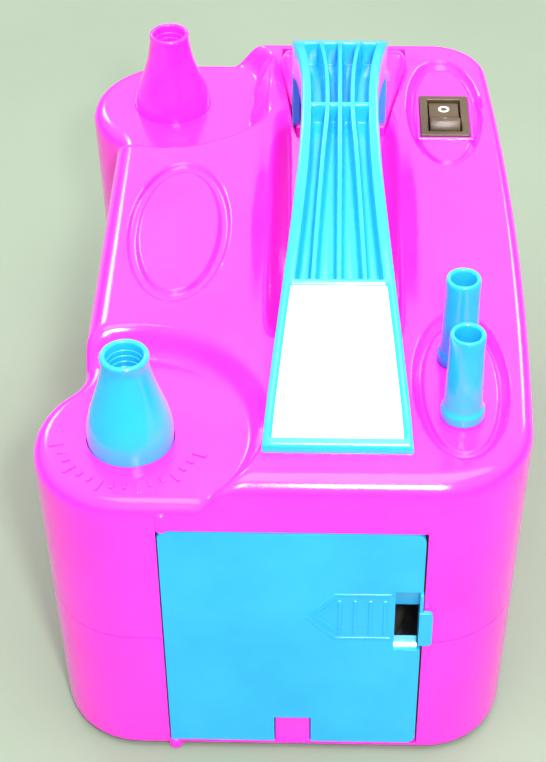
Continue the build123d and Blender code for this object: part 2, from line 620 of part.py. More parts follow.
# ================================================================ door and latch
def cord_door():
    """Flat door with hinge pins, a finger hole and raised marks that point at the hinge."""
    door = block(DOOR_LEFT, DOOR_RIGHT, DOOR_FRONT, DOOR_BACK, DOOR_BOTTOM, DOOR_TOP)
    right = door.edges().filter_by(Axis.Y).filter_by(lambda e: e.center().X > 30)
    door = fillet(right, 2.6)
    left = door.edges().filter_by(Axis.Z).filter_by(lambda e: e.center().X < DOOR_LEFT + 0.1)
    door = fillet(left, 1.0)
    door -= block(NOTCH[0], NOTCH[1], -110, -100, 0, NOTCH[2])
    door -= block(FINGER_HOLE[0], DOOR_RIGHT + 1, -110, -100, FINGER_HOLE[2], FINGER_HOLE[3])
    door -= block(DOOR_LEFT - 1, DOOR_LEFT + 2.6, -110, DOOR_FRONT + 0.7, DOOR_TOP - 1.2, DOOR_TOP + 1)
    backing = block(28.0, DOOR_RIGHT - 0.2, DOOR_BACK - 0.6, DOOR_BACK + 1.4, 61.5, FINGER_HOLE[3] + 2)
    door += backing
    wedge = Polyline((DOOR_FRONT, 45.9), (DOOR_BACK, 45.9), (DOOR_BACK, 47.2), close=True)
    sill = Plane.YZ * make_face(wedge)
    door += Pos(FINGER_HOLE[0] - 0.5, 0, 0) * extrude(sill, FINGER_HOLE[1] - FINGER_HOLE[0] + 0.4)
    for x in (15.5, 19.6, 23.8, 28.0):
        door += block(x - 0.45, x + 0.45, DOOR_FRONT - 0.3, DOOR_FRONT + 0.5, 49.2, 63.0)
    for rise in (-1, 1):
        bar = Pos(12.2, DOOR_FRONT, 56.1 + rise * 3.4) * Rot(0, -rise * 46, 0) * Box(9.4, 0.6, 0.9)
        door += bar
    door += post(HINGE_X, HINGE_Y, DOOR_BOTTOM - 1.9, DOOR_BOTTOM + 1, HINGE_PIN)
    door += post(HINGE_X, HINGE_Y, DOOR_TOP - 1, DOOR_TOP + 3.2, HINGE_PIN)
    return door


def door_latch():
    """Sprung latch at the door's free edge: arm, finger lug and the tongue behind the wall."""
    arm = block(36.4, 37.4, -107.2, -102.6, 47.4, 61.2)
    arm += block(36.4, 37.4, -107.2, -105.2, 61.0, 66.5)
    lug = block(36.4, 40.0, -107.7, -106.3, 47.4, 60.0)
    lug = fillet(lug.edges().filter_by(Axis.Y), 1.3)
    tongue = block(36.4, 39.4, -103.2, -101.6, 47.4, 55.0)
    return arm + lug + tongue


# ================================================================ cord compartment and cord
def cord_tray():
    """Five-sided tray behind the door that stores the mains lead."""
    tray = block(TRAY_LEFT, TRAY_RIGHT, TRAY_FRONT, TRAY_REAR, TRAY_FLOOR, TRAY_TOP)
    tray -= block(TRAY_LEFT + TRAY_WALL, TRAY_RIGHT - TRAY_WALL, TRAY_FRONT - 1, TRAY_REAR - TRAY_WALL,
                  TRAY_FLOOR + TRAY_WALL, TRAY_TOP - TRAY_WALL)
    tray -= rod_x(GLAND_Y, GLAND_Z, TRAY_RIGHT - 4, TRAY_RIGHT + 2, 4.3)
    return tray - post(NOZZLE_X, NEAR_Y, CUP_FLOOR_Z - FIT, TRAY_TOP + 1, CUP_RADIUS + FIT)


def cord_gland():
    """Flanged bush with a tapered strain relief that points into the compartment."""
    profile = [(CORD_RADIUS, TRAY_RIGHT + 4), (CORD_RADIUS, GLAND_TIP_X), (CORD_RADIUS + 0.8, GLAND_TIP_X),
               (3.9, TRAY_RIGHT - TRAY_WALL - 2), (4.25, TRAY_RIGHT - TRAY_WALL - 2), (4.25, TRAY_RIGHT),
               (6.0, TRAY_RIGHT), (6.0, TRAY_RIGHT + 1.8), (4.2, TRAY_RIGHT + 4)]
    face = Plane.XZ * make_face(Polyline(*[(x, r) for r, x in profile], close=True))
    return Pos(0, GLAND_Y, GLAND_Z) * revolve(face, Axis.X)


LEAD_ROUTE = [(17.6, -66.0, 78.0), (0.9, -66.0, 78.0), (-15.9, -66.0, 68.4), (-25.5, -66.0, 51.6),
              (-25.5, -66.0, 36.0)]
TAIL_ROUTE = [(33.5, -82.9, 50.4), (33.5, -85.9, 64.3), (26.5, -88.9, 76.3), (14.5, -91.3, 83.3),
              (0.5, -93.2, 83.3), (-11.5, -94.3, 76.3), (-18.5, -94.5, 64.3), (-18.5, -94.5, 50.2)]


def cord_coil():
    """Outer shape of the wound lead."""
    ring = Circle(COIL_OUTER) - Circle(COIL_INNER)
    coil = extrude(Plane.XZ * ring, COIL_REAR - COIL_FRONT)
    return Pos(COIL_X, COIL_REAR, COIL_Z) * coil


def cord_tie():
    """Band that holds the coil together."""
    outer = Box(COIL_OUTER - COIL_INNER + 2.0, COIL_REAR - COIL_FRONT + 2.0, 5.0)
    inner = Box(COIL_OUTER - COIL_INNER + 0.4, COIL_REAR - COIL_FRONT + 0.4, 6.0)
    middle = (COIL_OUTER + COIL_INNER) / 2
    place = Pos(COIL_X, (COIL_REAR + COIL_FRONT) / 2, COIL_Z) * Rot(0, -70, 0) * Pos(middle, 0, 0)
    return place * (outer - inner)


def power_plug():
    """Moulded two-blade plug with its strain relief, hanging blades down in the compartment."""
    shoulder = PLUG_TOP_Z - PLUG_RELIEF
    relief = turned_points(PLUG_X, PLUG_Y, [(0, PLUG_TOP_Z), (3.2, PLUG_TOP_Z), (4.8, shoulder), (0, shoulder)])
    body = block(PLUG_X - 9.0, PLUG_X + 9.0, PLUG_Y - 6.0, PLUG_Y + 6.0, shoulder - PLUG_BODY, shoulder + 0.5)
    body = fillet(body.edges().filter_by(Axis.Z), 3.5)
    body = fillet(body.faces().sort_by(Axis.Z)[-1].edges(), 2.0)
    for dx in (-BLADE_OFFSET, BLADE_OFFSET):
        body -= plug_blade(dx)
    return relief + body


def plug_blade(dx):
    """One flat blade, with the stretch that is moulded into the plug."""
    top = PLUG_TOP_Z - PLUG_RELIEF - PLUG_BODY
    return block(PLUG_X + dx - 0.75, PLUG_X + dx + 0.75, PLUG_Y - 3.15, PLUG_Y + 3.15,
                 top - PLUG_BLADE, top + 6)


def plug_prongs():
    """Two flat blades with rounded tips."""
    solids = []
    for dx in (-BLADE_OFFSET, BLADE_OFFSET):
        blade = plug_blade(dx)
        solids.append(fillet(blade.faces().sort_by(Axis.Z)[0].edges().filter_by(Axis.X), 1.6))
    return solids


# ================================================================ blower
def fan_cover():
    """Lower cup of the fan, with the round air inlet in its floor."""
    return turned_points(MOTOR_X, MOTOR_Y, [
        (13.0, 11.2), (36.4, 11.2), (36.4, 27.0), (35.2, 27.0), (35.2, 12.4), (13.0, 12.4)])


def impeller():
    """Closed fan wheel: two discs, seven backward-curved vanes and a hub."""
    lower = pipe(0, 0, 14.2, 15.2, FAN_RADIUS, 13.0)
    upper = pipe(0, 0, 22.6, 23.6, FAN_RADIUS, SHAFT_RADIUS)
    hub = pipe(0, 0, 14.2, 24.2, 5.5, SHAFT_RADIUS)
    wheel = lower + upper + hub
    for index in range(7):
        vane = ThreePointArc((5.0, 0), (20.0, 4.0), (FAN_RADIUS - 0.8, 16.0))
        blade = extrude(trace(vane, 1.0), 8.6)
        blade &= pipe(0, 0, -5, 20, FAN_RADIUS - 0.4, 5.2)
        wheel += Rot(0, 0, 360 / 7 * index) * Pos(0, 0, 14.7) * blade
    return Pos(MOTOR_X, MOTOR_Y, 0) * wheel


def diffuser():
    """Fixed plate above the fan with a ring of guide vanes."""
    plate = pipe(0, 0, 24.8, 26.6, 35.0, 6.5)
    for index in range(8):
        vane = Rot(0, 0, 45 * index) * Pos(24, 0, 28.2) * Rot(0, 0, 35) * Box(14, 1.2, 3.4)
        plate += vane
    return Pos(MOTOR_X, MOTOR_Y, 0) * plate


def blower_jar():
    """Bell over the motor that gathers the air, with one outlet spigot on its left."""
    jar = turned_points(MOTOR_X, MOTOR_Y, [
        (36.5, 11.2), (JAR_RADIUS, 11.2), (JAR_RADIUS, JAR_TOP - 5), (JAR_RADIUS - 5, JAR_TOP),
        (0, JAR_TOP), (0, JAR_TOP - 1.8), (JAR_RADIUS - 6, JAR_TOP - 1.8),
        (JAR_RADIUS - 1.5, JAR_TOP - 6.5), (JAR_RADIUS - 1.5, 31.0), (36.5, 27.2)])
    jar += rod_x(MOTOR_Y, DUCT_Z + 8, MOTOR_X - JAR_RADIUS - 2.4, MOTOR_X - JAR_RADIUS + 1.5, 5.2)
    return jar - rod_x(MOTOR_Y, DUCT_Z + 8, MOTOR_X - JAR_RADIUS - 4, MOTOR_X - JAR_RADIUS + 4, 4.0)


def air_manifold():
    """Tee that splits the air between the two nozzle hoses."""
    z = DUCT_Z + 8
    cross = Pos(NOZZLE_X, MOTOR_Y, z) * Rot(90, 0, 0) * Cylinder(5.2, 40)
    inlet = rod_x(MOTOR_Y, z, NOZZLE_X, MOTOR_X - JAR_RADIUS - 0.2, 6.9)
    bore = Pos(NOZZLE_X, MOTOR_Y, z) * Rot(90, 0, 0) * Cylinder(4.0, 41)
    socket = rod_x(MOTOR_Y, z, MOTOR_X - JAR_RADIUS - 2.6, MOTOR_X - JAR_RADIUS + 1, 5.3)
    return cross + inlet - bore - socket - rod_x(MOTOR_Y, z, NOZZLE_X, MOTOR_X - JAR_RADIUS, 4.0)


def air_hose(side):
    """Rubber hose from the manifold to a nozzle guide."""
    z = DUCT_Z + 8
    start_y = MOTOR_Y + side * 12.0
    nozzle_y = side * LOBE_Y
    points = [(NOZZLE_X, start_y, z), (NOZZLE_X, start_y + side * 20, z),
              (NOZZLE_X, nozzle_y - side * 16, z - 8), (NOZZLE_X, nozzle_y, z - 8),
              (NOZZLE_X, nozzle_y, 54.8)]
    return hose(points, DUCT_RADIUS, DUCT_BORE, [20.0, 10.0, 12.0])


def motor_bracket(z0, z1, seat_radius):
    """Pressed motor bracket: ring, cross arms and a bearing seat."""
    ring = pipe(MOTOR_X, MOTOR_Y, z0, z1, 28.5, 27.0)
    seat = pipe(MOTOR_X, MOTOR_Y, z0, z0 + 5, seat_radius + 1.5, seat_radius)
    arms = block(MOTOR_X - 28, MOTOR_X + 28, MOTOR_Y - 4, MOTOR_Y + 4, z0, z0 + 1.5)
    arms += block(MOTOR_X - 4, MOTOR_X + 4, MOTOR_Y - 28, MOTOR_Y + 28, z0, z0 + 1.5)
    return ring + seat + arms - post(MOTOR_X, MOTOR_Y, z0 - 1, z0 + 6, seat_radius)


def bearing(z0, outer):
    """Deep-groove bearing, as one closed ring that runs on the shaft."""
    ring = pipe(MOTOR_X, MOTOR_Y, z0, z0 + 5, outer, SHAFT_RADIUS + 0.05)
    groove = pipe(MOTOR_X, MOTOR_Y, z0 + 4.4, z0 + 6, outer - 1.6, SHAFT_RADIUS + 1.2)
    return ring - groove


def motor_stator():
    """Laminated stator with two poles round the armature."""
    core = pipe(0, 0, 42.0, 58.0, 26.8, 15.8)
    for side in (-1, 1):
        core -= block(side * 19 - 4, side * 19 + 4, -12, 12, 40, 60)
    return Pos(MOTOR_X, MOTOR_Y, 0) * core


def field_coils():
    """Two field windings that pass through the stator's slots."""
    coils = []
    for side in (-1, 1):
        coil = block(side * 19.3 - 3.3, side * 19.3 + 3.3, -11.6, 11.6, 38.0, 62.0)
        coil = fillet(coil.edges().filter_by(Axis.Y), 2.0)
        coils.append(Pos(MOTOR_X, MOTOR_Y, 0) * coil)
    return coils


def armature_core():
    """Slotted armature stack."""
    core = pipe(0, 0, 42.5, 57.5, 15.2, SHAFT_RADIUS)
    for index in range(12):
        core -= Rot(0, 0, 30 * index) * block(12.6, 16, -0.7, 0.7, 40, 60)
    return Pos(MOTOR_X, MOTOR_Y, 0) * core


def armature_windings():
    """Copper end turns above and below the armature stack."""
    rings = []
    for z0 in (37.8, 57.6):
        ring = pipe(MOTOR_X, MOTOR_Y, z0, z0 + 4.6, 12.4, 4.0)
        rings.append(fillet(ring.edges().filter_by(GeomType.CIRCLE).sort_by(SortBy.RADIUS)[-2:], 1.6))
    return rings


def commutator():
    """Segmented commutator barrel."""
    barrel = pipe(0, 0, 62.3, 67.7, 6.4, SHAFT_RADIUS)
    for index in range(12):
        barrel -= Rot(0, 0, 30 * index) * block(5.6, 7, -0.25, 0.25, 62, 70)
    return Pos(MOTOR_X, MOTOR_Y, 0) * barrel


def brush_holders():
    """Two brass brush tubes."""
    tubes = []
    for side in (-1, 1):
        tube = Box(13.0, 6.4, 5.4) - Box(14.0, 4.8, 3.8)
        tubes.append(Pos(MOTOR_X + side * 15.0, MOTOR_Y, 65.0) * tube)
    return tubes


def carbon_brushes():
    """Two carbon brushes that bear on the commutator."""
    brushes = []
    for side in (-1, 1):
        brush = Pos(MOTOR_X + side * 12.0, MOTOR_Y, 65.0) * Box(11.0, 4.6, 3.6)
        brushes.append(brush - post(MOTOR_X, MOTOR_Y, 60, 72, 6.5))
    return brushes


def small_parts():
    """Short turned pieces of the blower: shaft, nut, spacer, rubber mounts, filter and its grille."""
    nut = extrude(RegularPolygon(4.0, 6), 2.6) - Cylinder(SHAFT_RADIUS, 20)
    grille = pipe(MOTOR_X, MOTOR_Y, 8.0, 9.2, 35.0, 31.5)
    for step in (-20, -10, 0, 10, 20):
        half = sqrt(32.5 ** 2 - step ** 2)
        grille += block(MOTOR_X + step - 0.8, MOTOR_X + step + 0.8, MOTOR_Y - half, MOTOR_Y + half, 8.0, 9.2)
    return {
        "motor_shaft": post(MOTOR_X, MOTOR_Y, 11.4, 72.8, SHAFT_RADIUS),
        "impeller_nut": Pos(MOTOR_X, MOTOR_Y, 11.6) * nut,
        "impeller_spacer": pipe(MOTOR_X, MOTOR_Y, 24.2, 30.8, 4.6, SHAFT_RADIUS),
        "motor_mounts": [pipe(MOTOR_X, MOTOR_Y, 9.3, 11.1, JAR_RADIUS + 0.4, 33.0),
                         pipe(MOTOR_X, MOTOR_Y, JAR_TOP, JAR_TOP + 3.3, 9.0, 4.0)],
        "intake_filter": post(MOTOR_X, MOTOR_Y, FOOT_LIFT + WALL + 0.1, 8.0, 35.0),
        "filter_grille": grille,
    }


# ================================================================ wiring
def wire(points, radius, bend):
    """Insulated wire clipped inside the housing."""
    return hose(points, radius, 0, [bend] * (len(points) - 2))


def wiring():
    """Wires from the gland to the switch, and from the switch to the motor and microswitches."""
    terminal_z = DECK_Z - WELL_DEPTH - 21.1
    jar_right = MOTOR_X + JAR_RADIUS + 0.1
    mains = [(TRAY_RIGHT + 4.1, GLAND_Y, GLAND_Z), (51, GLAND_Y, GLAND_Z), (50, -44, 74),
             (SWITCH_X, SWITCH_Y - 5, 72), (SWITCH_X, SWITCH_Y - 5, terminal_z)]
    motor = [(SWITCH_X, SWITCH_Y + 5, terminal_z), (SWITCH_X, SWITCH_Y + 5, 70), (49, 22, 60),
             (49, MOTOR_Y, 60), (jar_right, MOTOR_Y, 60)]
    signals = []
    for side in (-1, 1):
        start_y = side * LOBE_Y
        signals.append(wire([(-50.5, start_y, 71.3), (-50.5, start_y, 64), (-49.5, side * 36, 64),
                             (-38, MOTOR_Y + side * 14, 64), (-32.2, MOTOR_Y + side * 10, 64)], 1.2, 4.0))
    return {
        "mains_wire": wire(mains, CORD_RADIUS, 4.0),
        "motor_wires": [wire(motor, 1.2, 2.5), *signals],
    }


# ================================================================ all pieces
PIECES = {
    "upper_shell": upper_shell(),
    "lower_shell": lower_shell(),
    "rubber_feet": rubber_feet(),
    "case_screws": case_screws(),
    "carry_handle": carry_handle(),
    "handle_label": handle_label(),
    "handle_socket": handle_socket(),
    "handle_screws": handle_screws(),
    "near_nozzle": bell(NEAR_TIP_Z, 11.5, NEAR_Y),
    "far_nozzle": bell(FAR_TIP_Z, 12.1, FAR_Y),
    "near_seal": seal_ring(NEAR_Y),
    "far_seal": seal_ring(FAR_Y),
    "near_guide": valve_guide(NEAR_Y),
    "far_guide": valve_guide(FAR_Y),
    "near_thrust_ring": thrust_ring(),
    "near_spring": coil_spring(NEAR_Y, STEM_Z - 1.7),
    "far_spring": coil_spring(FAR_Y, STEM_Z),
    "microswitches": [microswitch(NEAR_Y), microswitch(FAR_Y)],
    "near_plunger": plunger(NEAR_Y),
    "far_plunger": plunger(FAR_Y),
    "spare_pegs": spare_pegs(),
    "spare_nozzle_near": spare_nozzle(SPARE_Y[0]),
    "spare_nozzle_far": spare_nozzle(SPARE_Y[1]),
    "switch_frame": switch_frame(),
    "rocker_button": rocker_button(),
    "switch_terminals": switch_terminals(),
    "cord_door": cord_door(),
    "door_latch": door_latch(),
    "cord_tray": cord_tray(),
    "cord_gland": cord_gland(),
    "power_cord_lead": cord_tube(LEAD_ROUTE, "power_cord_lead"),
    "power_cord_coil": cord_coil(),
    "power_cord_tail": cord_tube(TAIL_ROUTE, "power_cord_tail"),
    "cord_tie": cord_tie(),
    "power_plug": power_plug(),
    "plug_prongs": plug_prongs(),
    "fan_cover": fan_cover(),
    "impeller": impeller(),
    "diffuser": diffuser(),
    "blower_jar": blower_jar(),
    "air_manifold": air_manifold(),
    "air_hoses": [air_hose(-1), air_hose(1)],
    "lower_motor_bracket": motor_bracket(31.0, 42.0, 8.0),
    "upper_motor_bracket": motor_bracket(67.8, 72.6, 6.5),
    "motor_bearings": [bearing(31.0, 8.0), bearing(67.8, 6.5)],
    "motor_stator": motor_stator(),
    "field_coils": field_coils(),
    "armature_core": armature_core(),
    "armature_windings": armature_windings(),
    "commutator": commutator(),
    "brush_holders": brush_holders(),
    "carbon_brushes": carbon_brushes(),
    **small_parts(),
    **wiring(),
}

for name, piece in PIECES.items():
    solids = piece if isinstance(piece, list) else [piece]
    bodies = [solid for shape in solids for solid in shape.solids()]
    export_step(bodies[0] if len(bodies) == 1 else Compound(bodies), f"parts/{name}.step")
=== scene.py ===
import json
import math

import bmesh
import bpy
import numpy as np
from mathutils import Matrix, Vector
from mathutils.geometry import delaunay_2d_cdt


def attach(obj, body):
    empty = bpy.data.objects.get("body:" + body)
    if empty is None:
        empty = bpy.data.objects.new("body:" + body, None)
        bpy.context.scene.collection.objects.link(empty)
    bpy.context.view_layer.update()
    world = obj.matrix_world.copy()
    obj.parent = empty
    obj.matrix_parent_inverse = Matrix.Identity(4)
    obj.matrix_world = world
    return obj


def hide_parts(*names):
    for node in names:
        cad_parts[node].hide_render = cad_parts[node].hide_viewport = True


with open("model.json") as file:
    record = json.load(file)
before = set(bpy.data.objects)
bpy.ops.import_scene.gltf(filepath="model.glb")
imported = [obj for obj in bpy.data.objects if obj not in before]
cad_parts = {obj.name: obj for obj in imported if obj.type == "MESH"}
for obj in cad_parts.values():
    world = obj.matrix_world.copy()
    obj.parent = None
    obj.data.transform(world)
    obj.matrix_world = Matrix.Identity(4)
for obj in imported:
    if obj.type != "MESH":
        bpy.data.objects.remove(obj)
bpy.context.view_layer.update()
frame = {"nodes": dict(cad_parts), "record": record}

# The places below are in millimetres, in the frame of the CAD model, and MM turns them into metres.
MM = 0.001

# ================ sizes and places
HALF_LENGTH = 106.0
FOOT_LIFT = 1.5
PARTING_Z = 47.0
LOBE_Z = 97.0
DECK_Z = 105.0
WALL = 2.4
LOBE_X = -40.0
LOBE_Y = 80.0
LOBE_RADIUS = 26.0
WAIST_X = -55.0
FLARE = 12.0
RIGHT_WALL = ((63.4, -106.0), (66.5, -15.0), (60.7, 106.0))
FRONT_CORNER = 26.0
REAR_CORNER = 18.0
DRAFT = 2.4
SOCKET_PLAN = [(1.0, 57.0), (28.5, 57.0), (36.0, 88.0), (36.0, 101.0), (-4.6, 101.0), (-4.6, 86.0)]
RIM_FLOOR = 4.6
RIM_DECK_MORE = 1.8
RIM_RIGHT_LESS = 2.6
RIM_INSET = 5
SWITCH = (47.5, 62.0)
SPARE_X = 46.6
SPARE_Y = (-77.0, -54.5)
WELL_FLOOR = 103.5
HANDLE_X = 14.2

# cord door: its left, right, lower and upper edge, its front and back face, the gaps beside and above it,
# the notch's left, right and top, the finger hole's left, bottom and top, and the hinge's place
DOOR = (-31.8, 37.2, 4.0, 88.0)
DOOR_FRONT = -106.2
DOOR_BACK = -104.0
DOOR_GAPS = (0.35, 0.5)
DOOR_CLEAR = 0.4
NOTCH = (-2.4, 7.8, 14.3)
FINGER_HOLE = (30.0, 43.8, 66.8)
HINGE = (-30.6, -104.9)

# case screws, and the middles of the cord's gland and of its plug
POSTS = [(-52.0, -95.0), (51.0, -92.0), (-52.0, 95.0), (47.0, 93.0), (57.0, 0.0), (-14.0, 97.0)]
GLAND = (17.6, -66.0, 78.0)
PLUG = (-18.5, -94.5)

# centre, outer and inner half axes of the soft oval grooves in the deck, and their depths
WAIST_RING = ((-32.4, 0.8), (15.4, 34.2), (11.2, 28.2))
SPARE_RING = ((46.7, -66.0), (13.2, 30.2), (9.5, 25.0))
SWITCH_RING = ((47.5, 64.4), (12.3, 30.3), (9.2, 25.6))
WAIST_DEPTH = 1.5
WELL_DEPTH = 1.2

# distance between points along the housing's outline
OUTLINE_STEP = 1.3


# ================ numbers and curves
def ease(t):
    """Smooth step from 0 to 1."""
    t = np.clip(t, 0.0, 1.0)
    return t * t * t * (t * (6.0 * t - 15.0) + 10.0)


def smooth_curve(points):
    """Function of one variable that runs smoothly through the points."""
    xs = np.array([p[0] for p in points], float)
    ys = np.array([p[1] for p in points], float)
    slopes = np.gradient(ys, xs)

    def value(x):
        x = np.clip(x, xs[0], xs[-1])
        i = np.clip(np.searchsorted(xs, x) - 1, 0, len(xs) - 2)
        h = xs[i + 1] - xs[i]
        t = (x - xs[i]) / h
        start = (1 + 2 * t) * (1 - t) ** 2 * ys[i] + t * (1 - t) ** 2 * h * slopes[i]
        return start + t * t * (3 - 2 * t) * ys[i + 1] + t * t * (t - 1) * h * slopes[i + 1]

    return value


def arc(cx, cy, radius, start, end, outward=1.0):
    """Points and normals along an arc given in degrees; outward is -1 on a hollow arc."""
    count = max(2, int(abs(math.radians(end - start)) * radius / OUTLINE_STEP))
    rows = []
    for k in range(count):
        a = math.radians(start + (end - start) * k / count)
        rows.append((cx + radius * math.cos(a), cy + radius * math.sin(a),
                     outward * math.cos(a), outward * math.sin(a)))
    return rows


def run(stops, normal):
    """Points and normals along straight stretches between stops, without the last stop."""
    rows = []
    for (x0, y0), (x1, y1) in zip(stops, stops[1:]):
        count = max(1, round(math.hypot(x1 - x0, y1 - y0) / OUTLINE_STEP))
        for k in range(count):
            rows.append((x0 + (x1 - x0) * k / count, y0 + (y1 - y0) * k / count, *normal))
    return rows


def circle_through(a, b, c):
    """Centre and radius of the circle through three points."""
    (ax, ay), (bx, by), (cx, cy) = a, b, c
    d = 2 * (ax * (by - cy) + bx * (cy - ay) + cx * (ay - by))
    aa, bb, cc = ax ** 2 + ay ** 2, bx ** 2 + by ** 2, cx ** 2 + cy ** 2
    ux = (aa * (by - cy) + bb * (cy - ay) + cc * (ay - by)) / d
    uy = (aa * (cx - bx) + bb * (ax - cx) + cc * (bx - ax)) / d
    return ux, uy, math.hypot(ax - ux, ay - uy)


def inside(points, polygon):
    """Which of the points lie inside a polygon."""
    x, y = points[:, 0], points[:, 1]
    found = np.zeros(len(points), bool)
    for (x0, y0), (x1, y1) in zip(polygon, np.roll(polygon, -1, axis=0)):
        if y0 != y1:
            found ^= ((y0 > y) != (y1 > y)) & (x < (x1 - x0) * (y - y0) / (y1 - y0) + x0)
    return found


def circle(x, y, radius, count):
    """Points of a circle."""
    turns = [2 * math.pi * k / count for k in range(count)]
    return [(x + radius * math.cos(a), y + radius * math.sin(a)) for a in turns]


def rectangle(x, y, half_x, half_y):
    """Corners of a rectangle about its centre."""
    return [(x + a * half_x, y + b * half_y) for a, b in ((-1, -1), (1, -1), (1, 1), (-1, 1))]


# ================ materials
def node(tree, kind, **values):
    """Shader node with its values set."""
    made = tree.nodes.new(kind)
    for key, value in values.items():
        if key in made.inputs:
            made.inputs[key].default_value = value
        else:
            setattr(made, key, value)
    return made


def mixed_colour(tree, factor, low, high):
    """Colour that runs between two colours with a factor."""
    ramp = node(tree, "ShaderNodeValToRGB")
    ramp.color_ramp.elements[0].color = (*low, 1)
    ramp.color_ramp.elements[0].position = 0.3
    ramp.color_ramp.elements[1].color = (*high, 1)
    ramp.color_ramp.elements[1].position = 0.7
    tree.links.new(factor, ramp.inputs["Fac"])
    return ramp.outputs["Color"]


ROUGH_SPREAD = 0.06
FINE_GRAIN = 22.0
RELIEF_HEIGHT = 0.0004


def material(name, low, high, rough, grain=90.0, relief=0.02, metallic=0.0, stretch=(1, 1, 1),
             subsurface=0.0, sheen=0.0):
    """Moulded, turned or woven surface: a mottled colour, uneven gloss and fine relief."""
    made = bpy.data.materials.new(name)
    made.use_nodes = True
    tree = made.node_tree
    shader = tree.nodes["Principled BSDF"]
    place = node(tree, "ShaderNodeTexCoord")
    scaled = node(tree, "ShaderNodeMapping", Scale=stretch)
    tree.links.new(place.outputs["Object"], scaled.inputs["Vector"])
    broad = node(tree, "ShaderNodeTexNoise", Scale=grain, Detail=4.0)
    fine = node(tree, "ShaderNodeTexNoise", Scale=grain * FINE_GRAIN, Detail=2.0)
    for noise in (broad, fine):
        tree.links.new(scaled.outputs["Vector"], noise.inputs["Vector"])
    tree.links.new(mixed_colour(tree, broad.outputs["Fac"], low, high), shader.inputs["Base Color"])
    limits = {"To Min": rough, "To Max": min(1.0, rough + ROUGH_SPREAD)}
    gloss = node(tree, "ShaderNodeMapRange", **limits)
    tree.links.new(fine.outputs["Fac"], gloss.inputs["Value"])
    tree.links.new(gloss.outputs["Result"], shader.inputs["Roughness"])
    bump = node(tree, "ShaderNodeBump", Strength=relief, Distance=RELIEF_HEIGHT)
    tree.links.new(fine.outputs["Fac"], bump.inputs["Height"])
    tree.links.new(bump.outputs["Normal"], shader.inputs["Normal"])
    shader.inputs["Metallic"].default_value = metallic
    shader.inputs["Sheen Weight"].default_value = sheen
    if subsurface:
        shader.inputs["Subsurface Weight"].default_value = subsurface
        shader.inputs["Subsurface Radius"].default_value = (0.004, 0.001, 0.002)
        shader.inputs["Subsurface Scale"].default_value = 0.5
    return made


# darker and lighter colour, roughness, and what else differs
LOOKS = {
    "pink_shell": ((0.95, 0.022, 0.62), (1.0, 0.031, 0.70), 0.12, dict(grain=40.0, relief=0.05)),
    "cyan_plastic": ((0.014, 0.37, 0.74), (0.022, 0.42, 0.80), 0.13, dict(grain=50.0, relief=0.06)),
    "silver_label": ((0.80, 0.84, 0.86), (0.93, 0.95, 0.96), 0.18,
                     dict(grain=60.0, relief=0.05, stretch=(1, 6, 1))),
    "black_plastic": ((0.06, 0.036, 0.016), (0.085, 0.052, 0.024), 0.34, dict(relief=0.25)),
    "cord_pvc": ((0.055, 0.048, 0.04), (0.085, 0.075, 0.065), 0.34, dict(relief=0.3)),
    "black_rubber": ((0.02, 0.02, 0.02), (0.045, 0.045, 0.042), 0.72, dict(relief=0.5)),
    "plated_steel": ((0.55, 0.56, 0.58), (0.75, 0.76, 0.77), 0.22, dict(metallic=1.0)),
    "spring_steel": ((0.42, 0.43, 0.45), (0.6, 0.6, 0.61), 0.3, dict(metallic=1.0)),
    "ground_steel": ((0.6, 0.6, 0.61), (0.74, 0.74, 0.75), 0.16, dict(metallic=1.0, stretch=(1, 1, 14))),
    "lamination_steel": ((0.2, 0.2, 0.21), (0.36, 0.36, 0.37), 0.4,
                         dict(metallic=1.0, stretch=(1, 1, 60), relief=0.7)),
    "brass_metal": ((0.62, 0.44, 0.15), (0.78, 0.58, 0.24), 0.26, dict(metallic=1.0)),
    "copper": ((0.55, 0.20, 0.08), (0.76, 0.33, 0.15), 0.3,
               dict(metallic=1.0, stretch=(1, 1, 40), relief=0.8)),
    "carbon": ((0.02, 0.02, 0.02), (0.06, 0.06, 0.06), 0.5, dict(relief=0.4)),
    "grey_plastic": ((0.26, 0.27, 0.28), (0.34, 0.35, 0.36), 0.4, dict(relief=0.2)),
    "natural_nylon": ((0.76, 0.74, 0.66), (0.86, 0.84, 0.78), 0.36, dict(relief=0.2, subsurface=0.1)),
    "foam": ((0.05, 0.05, 0.05), (0.13, 0.13, 0.12), 0.95, dict(grain=400.0, relief=1.0, sheen=0.2)),
    "wire_pvc": ((0.32, 0.02, 0.015), (0.45, 0.03, 0.02), 0.4, dict(relief=0.2)),
}
MATERIALS = {name: material(name, *look[:3], **look[3]) for name, look in LOOKS.items()}
WHITE_MARK = material("white_mark", (0.86, 0.86, 0.82), (0.96, 0.96, 0.93), 0.4, relief=0.1)

for entry in frame["record"]["subparts"]:
    shown = frame["nodes"][entry["node"]].data
    shown.materials.clear()
    shown.materials.append(MATERIALS[entry["material_slot"]])


# ================ meshes
def in_scene(name, data):
    """New object of the scene."""
    made = bpy.data.objects.new(name, data)
    bpy.context.scene.collection.objects.link(made)
    return made


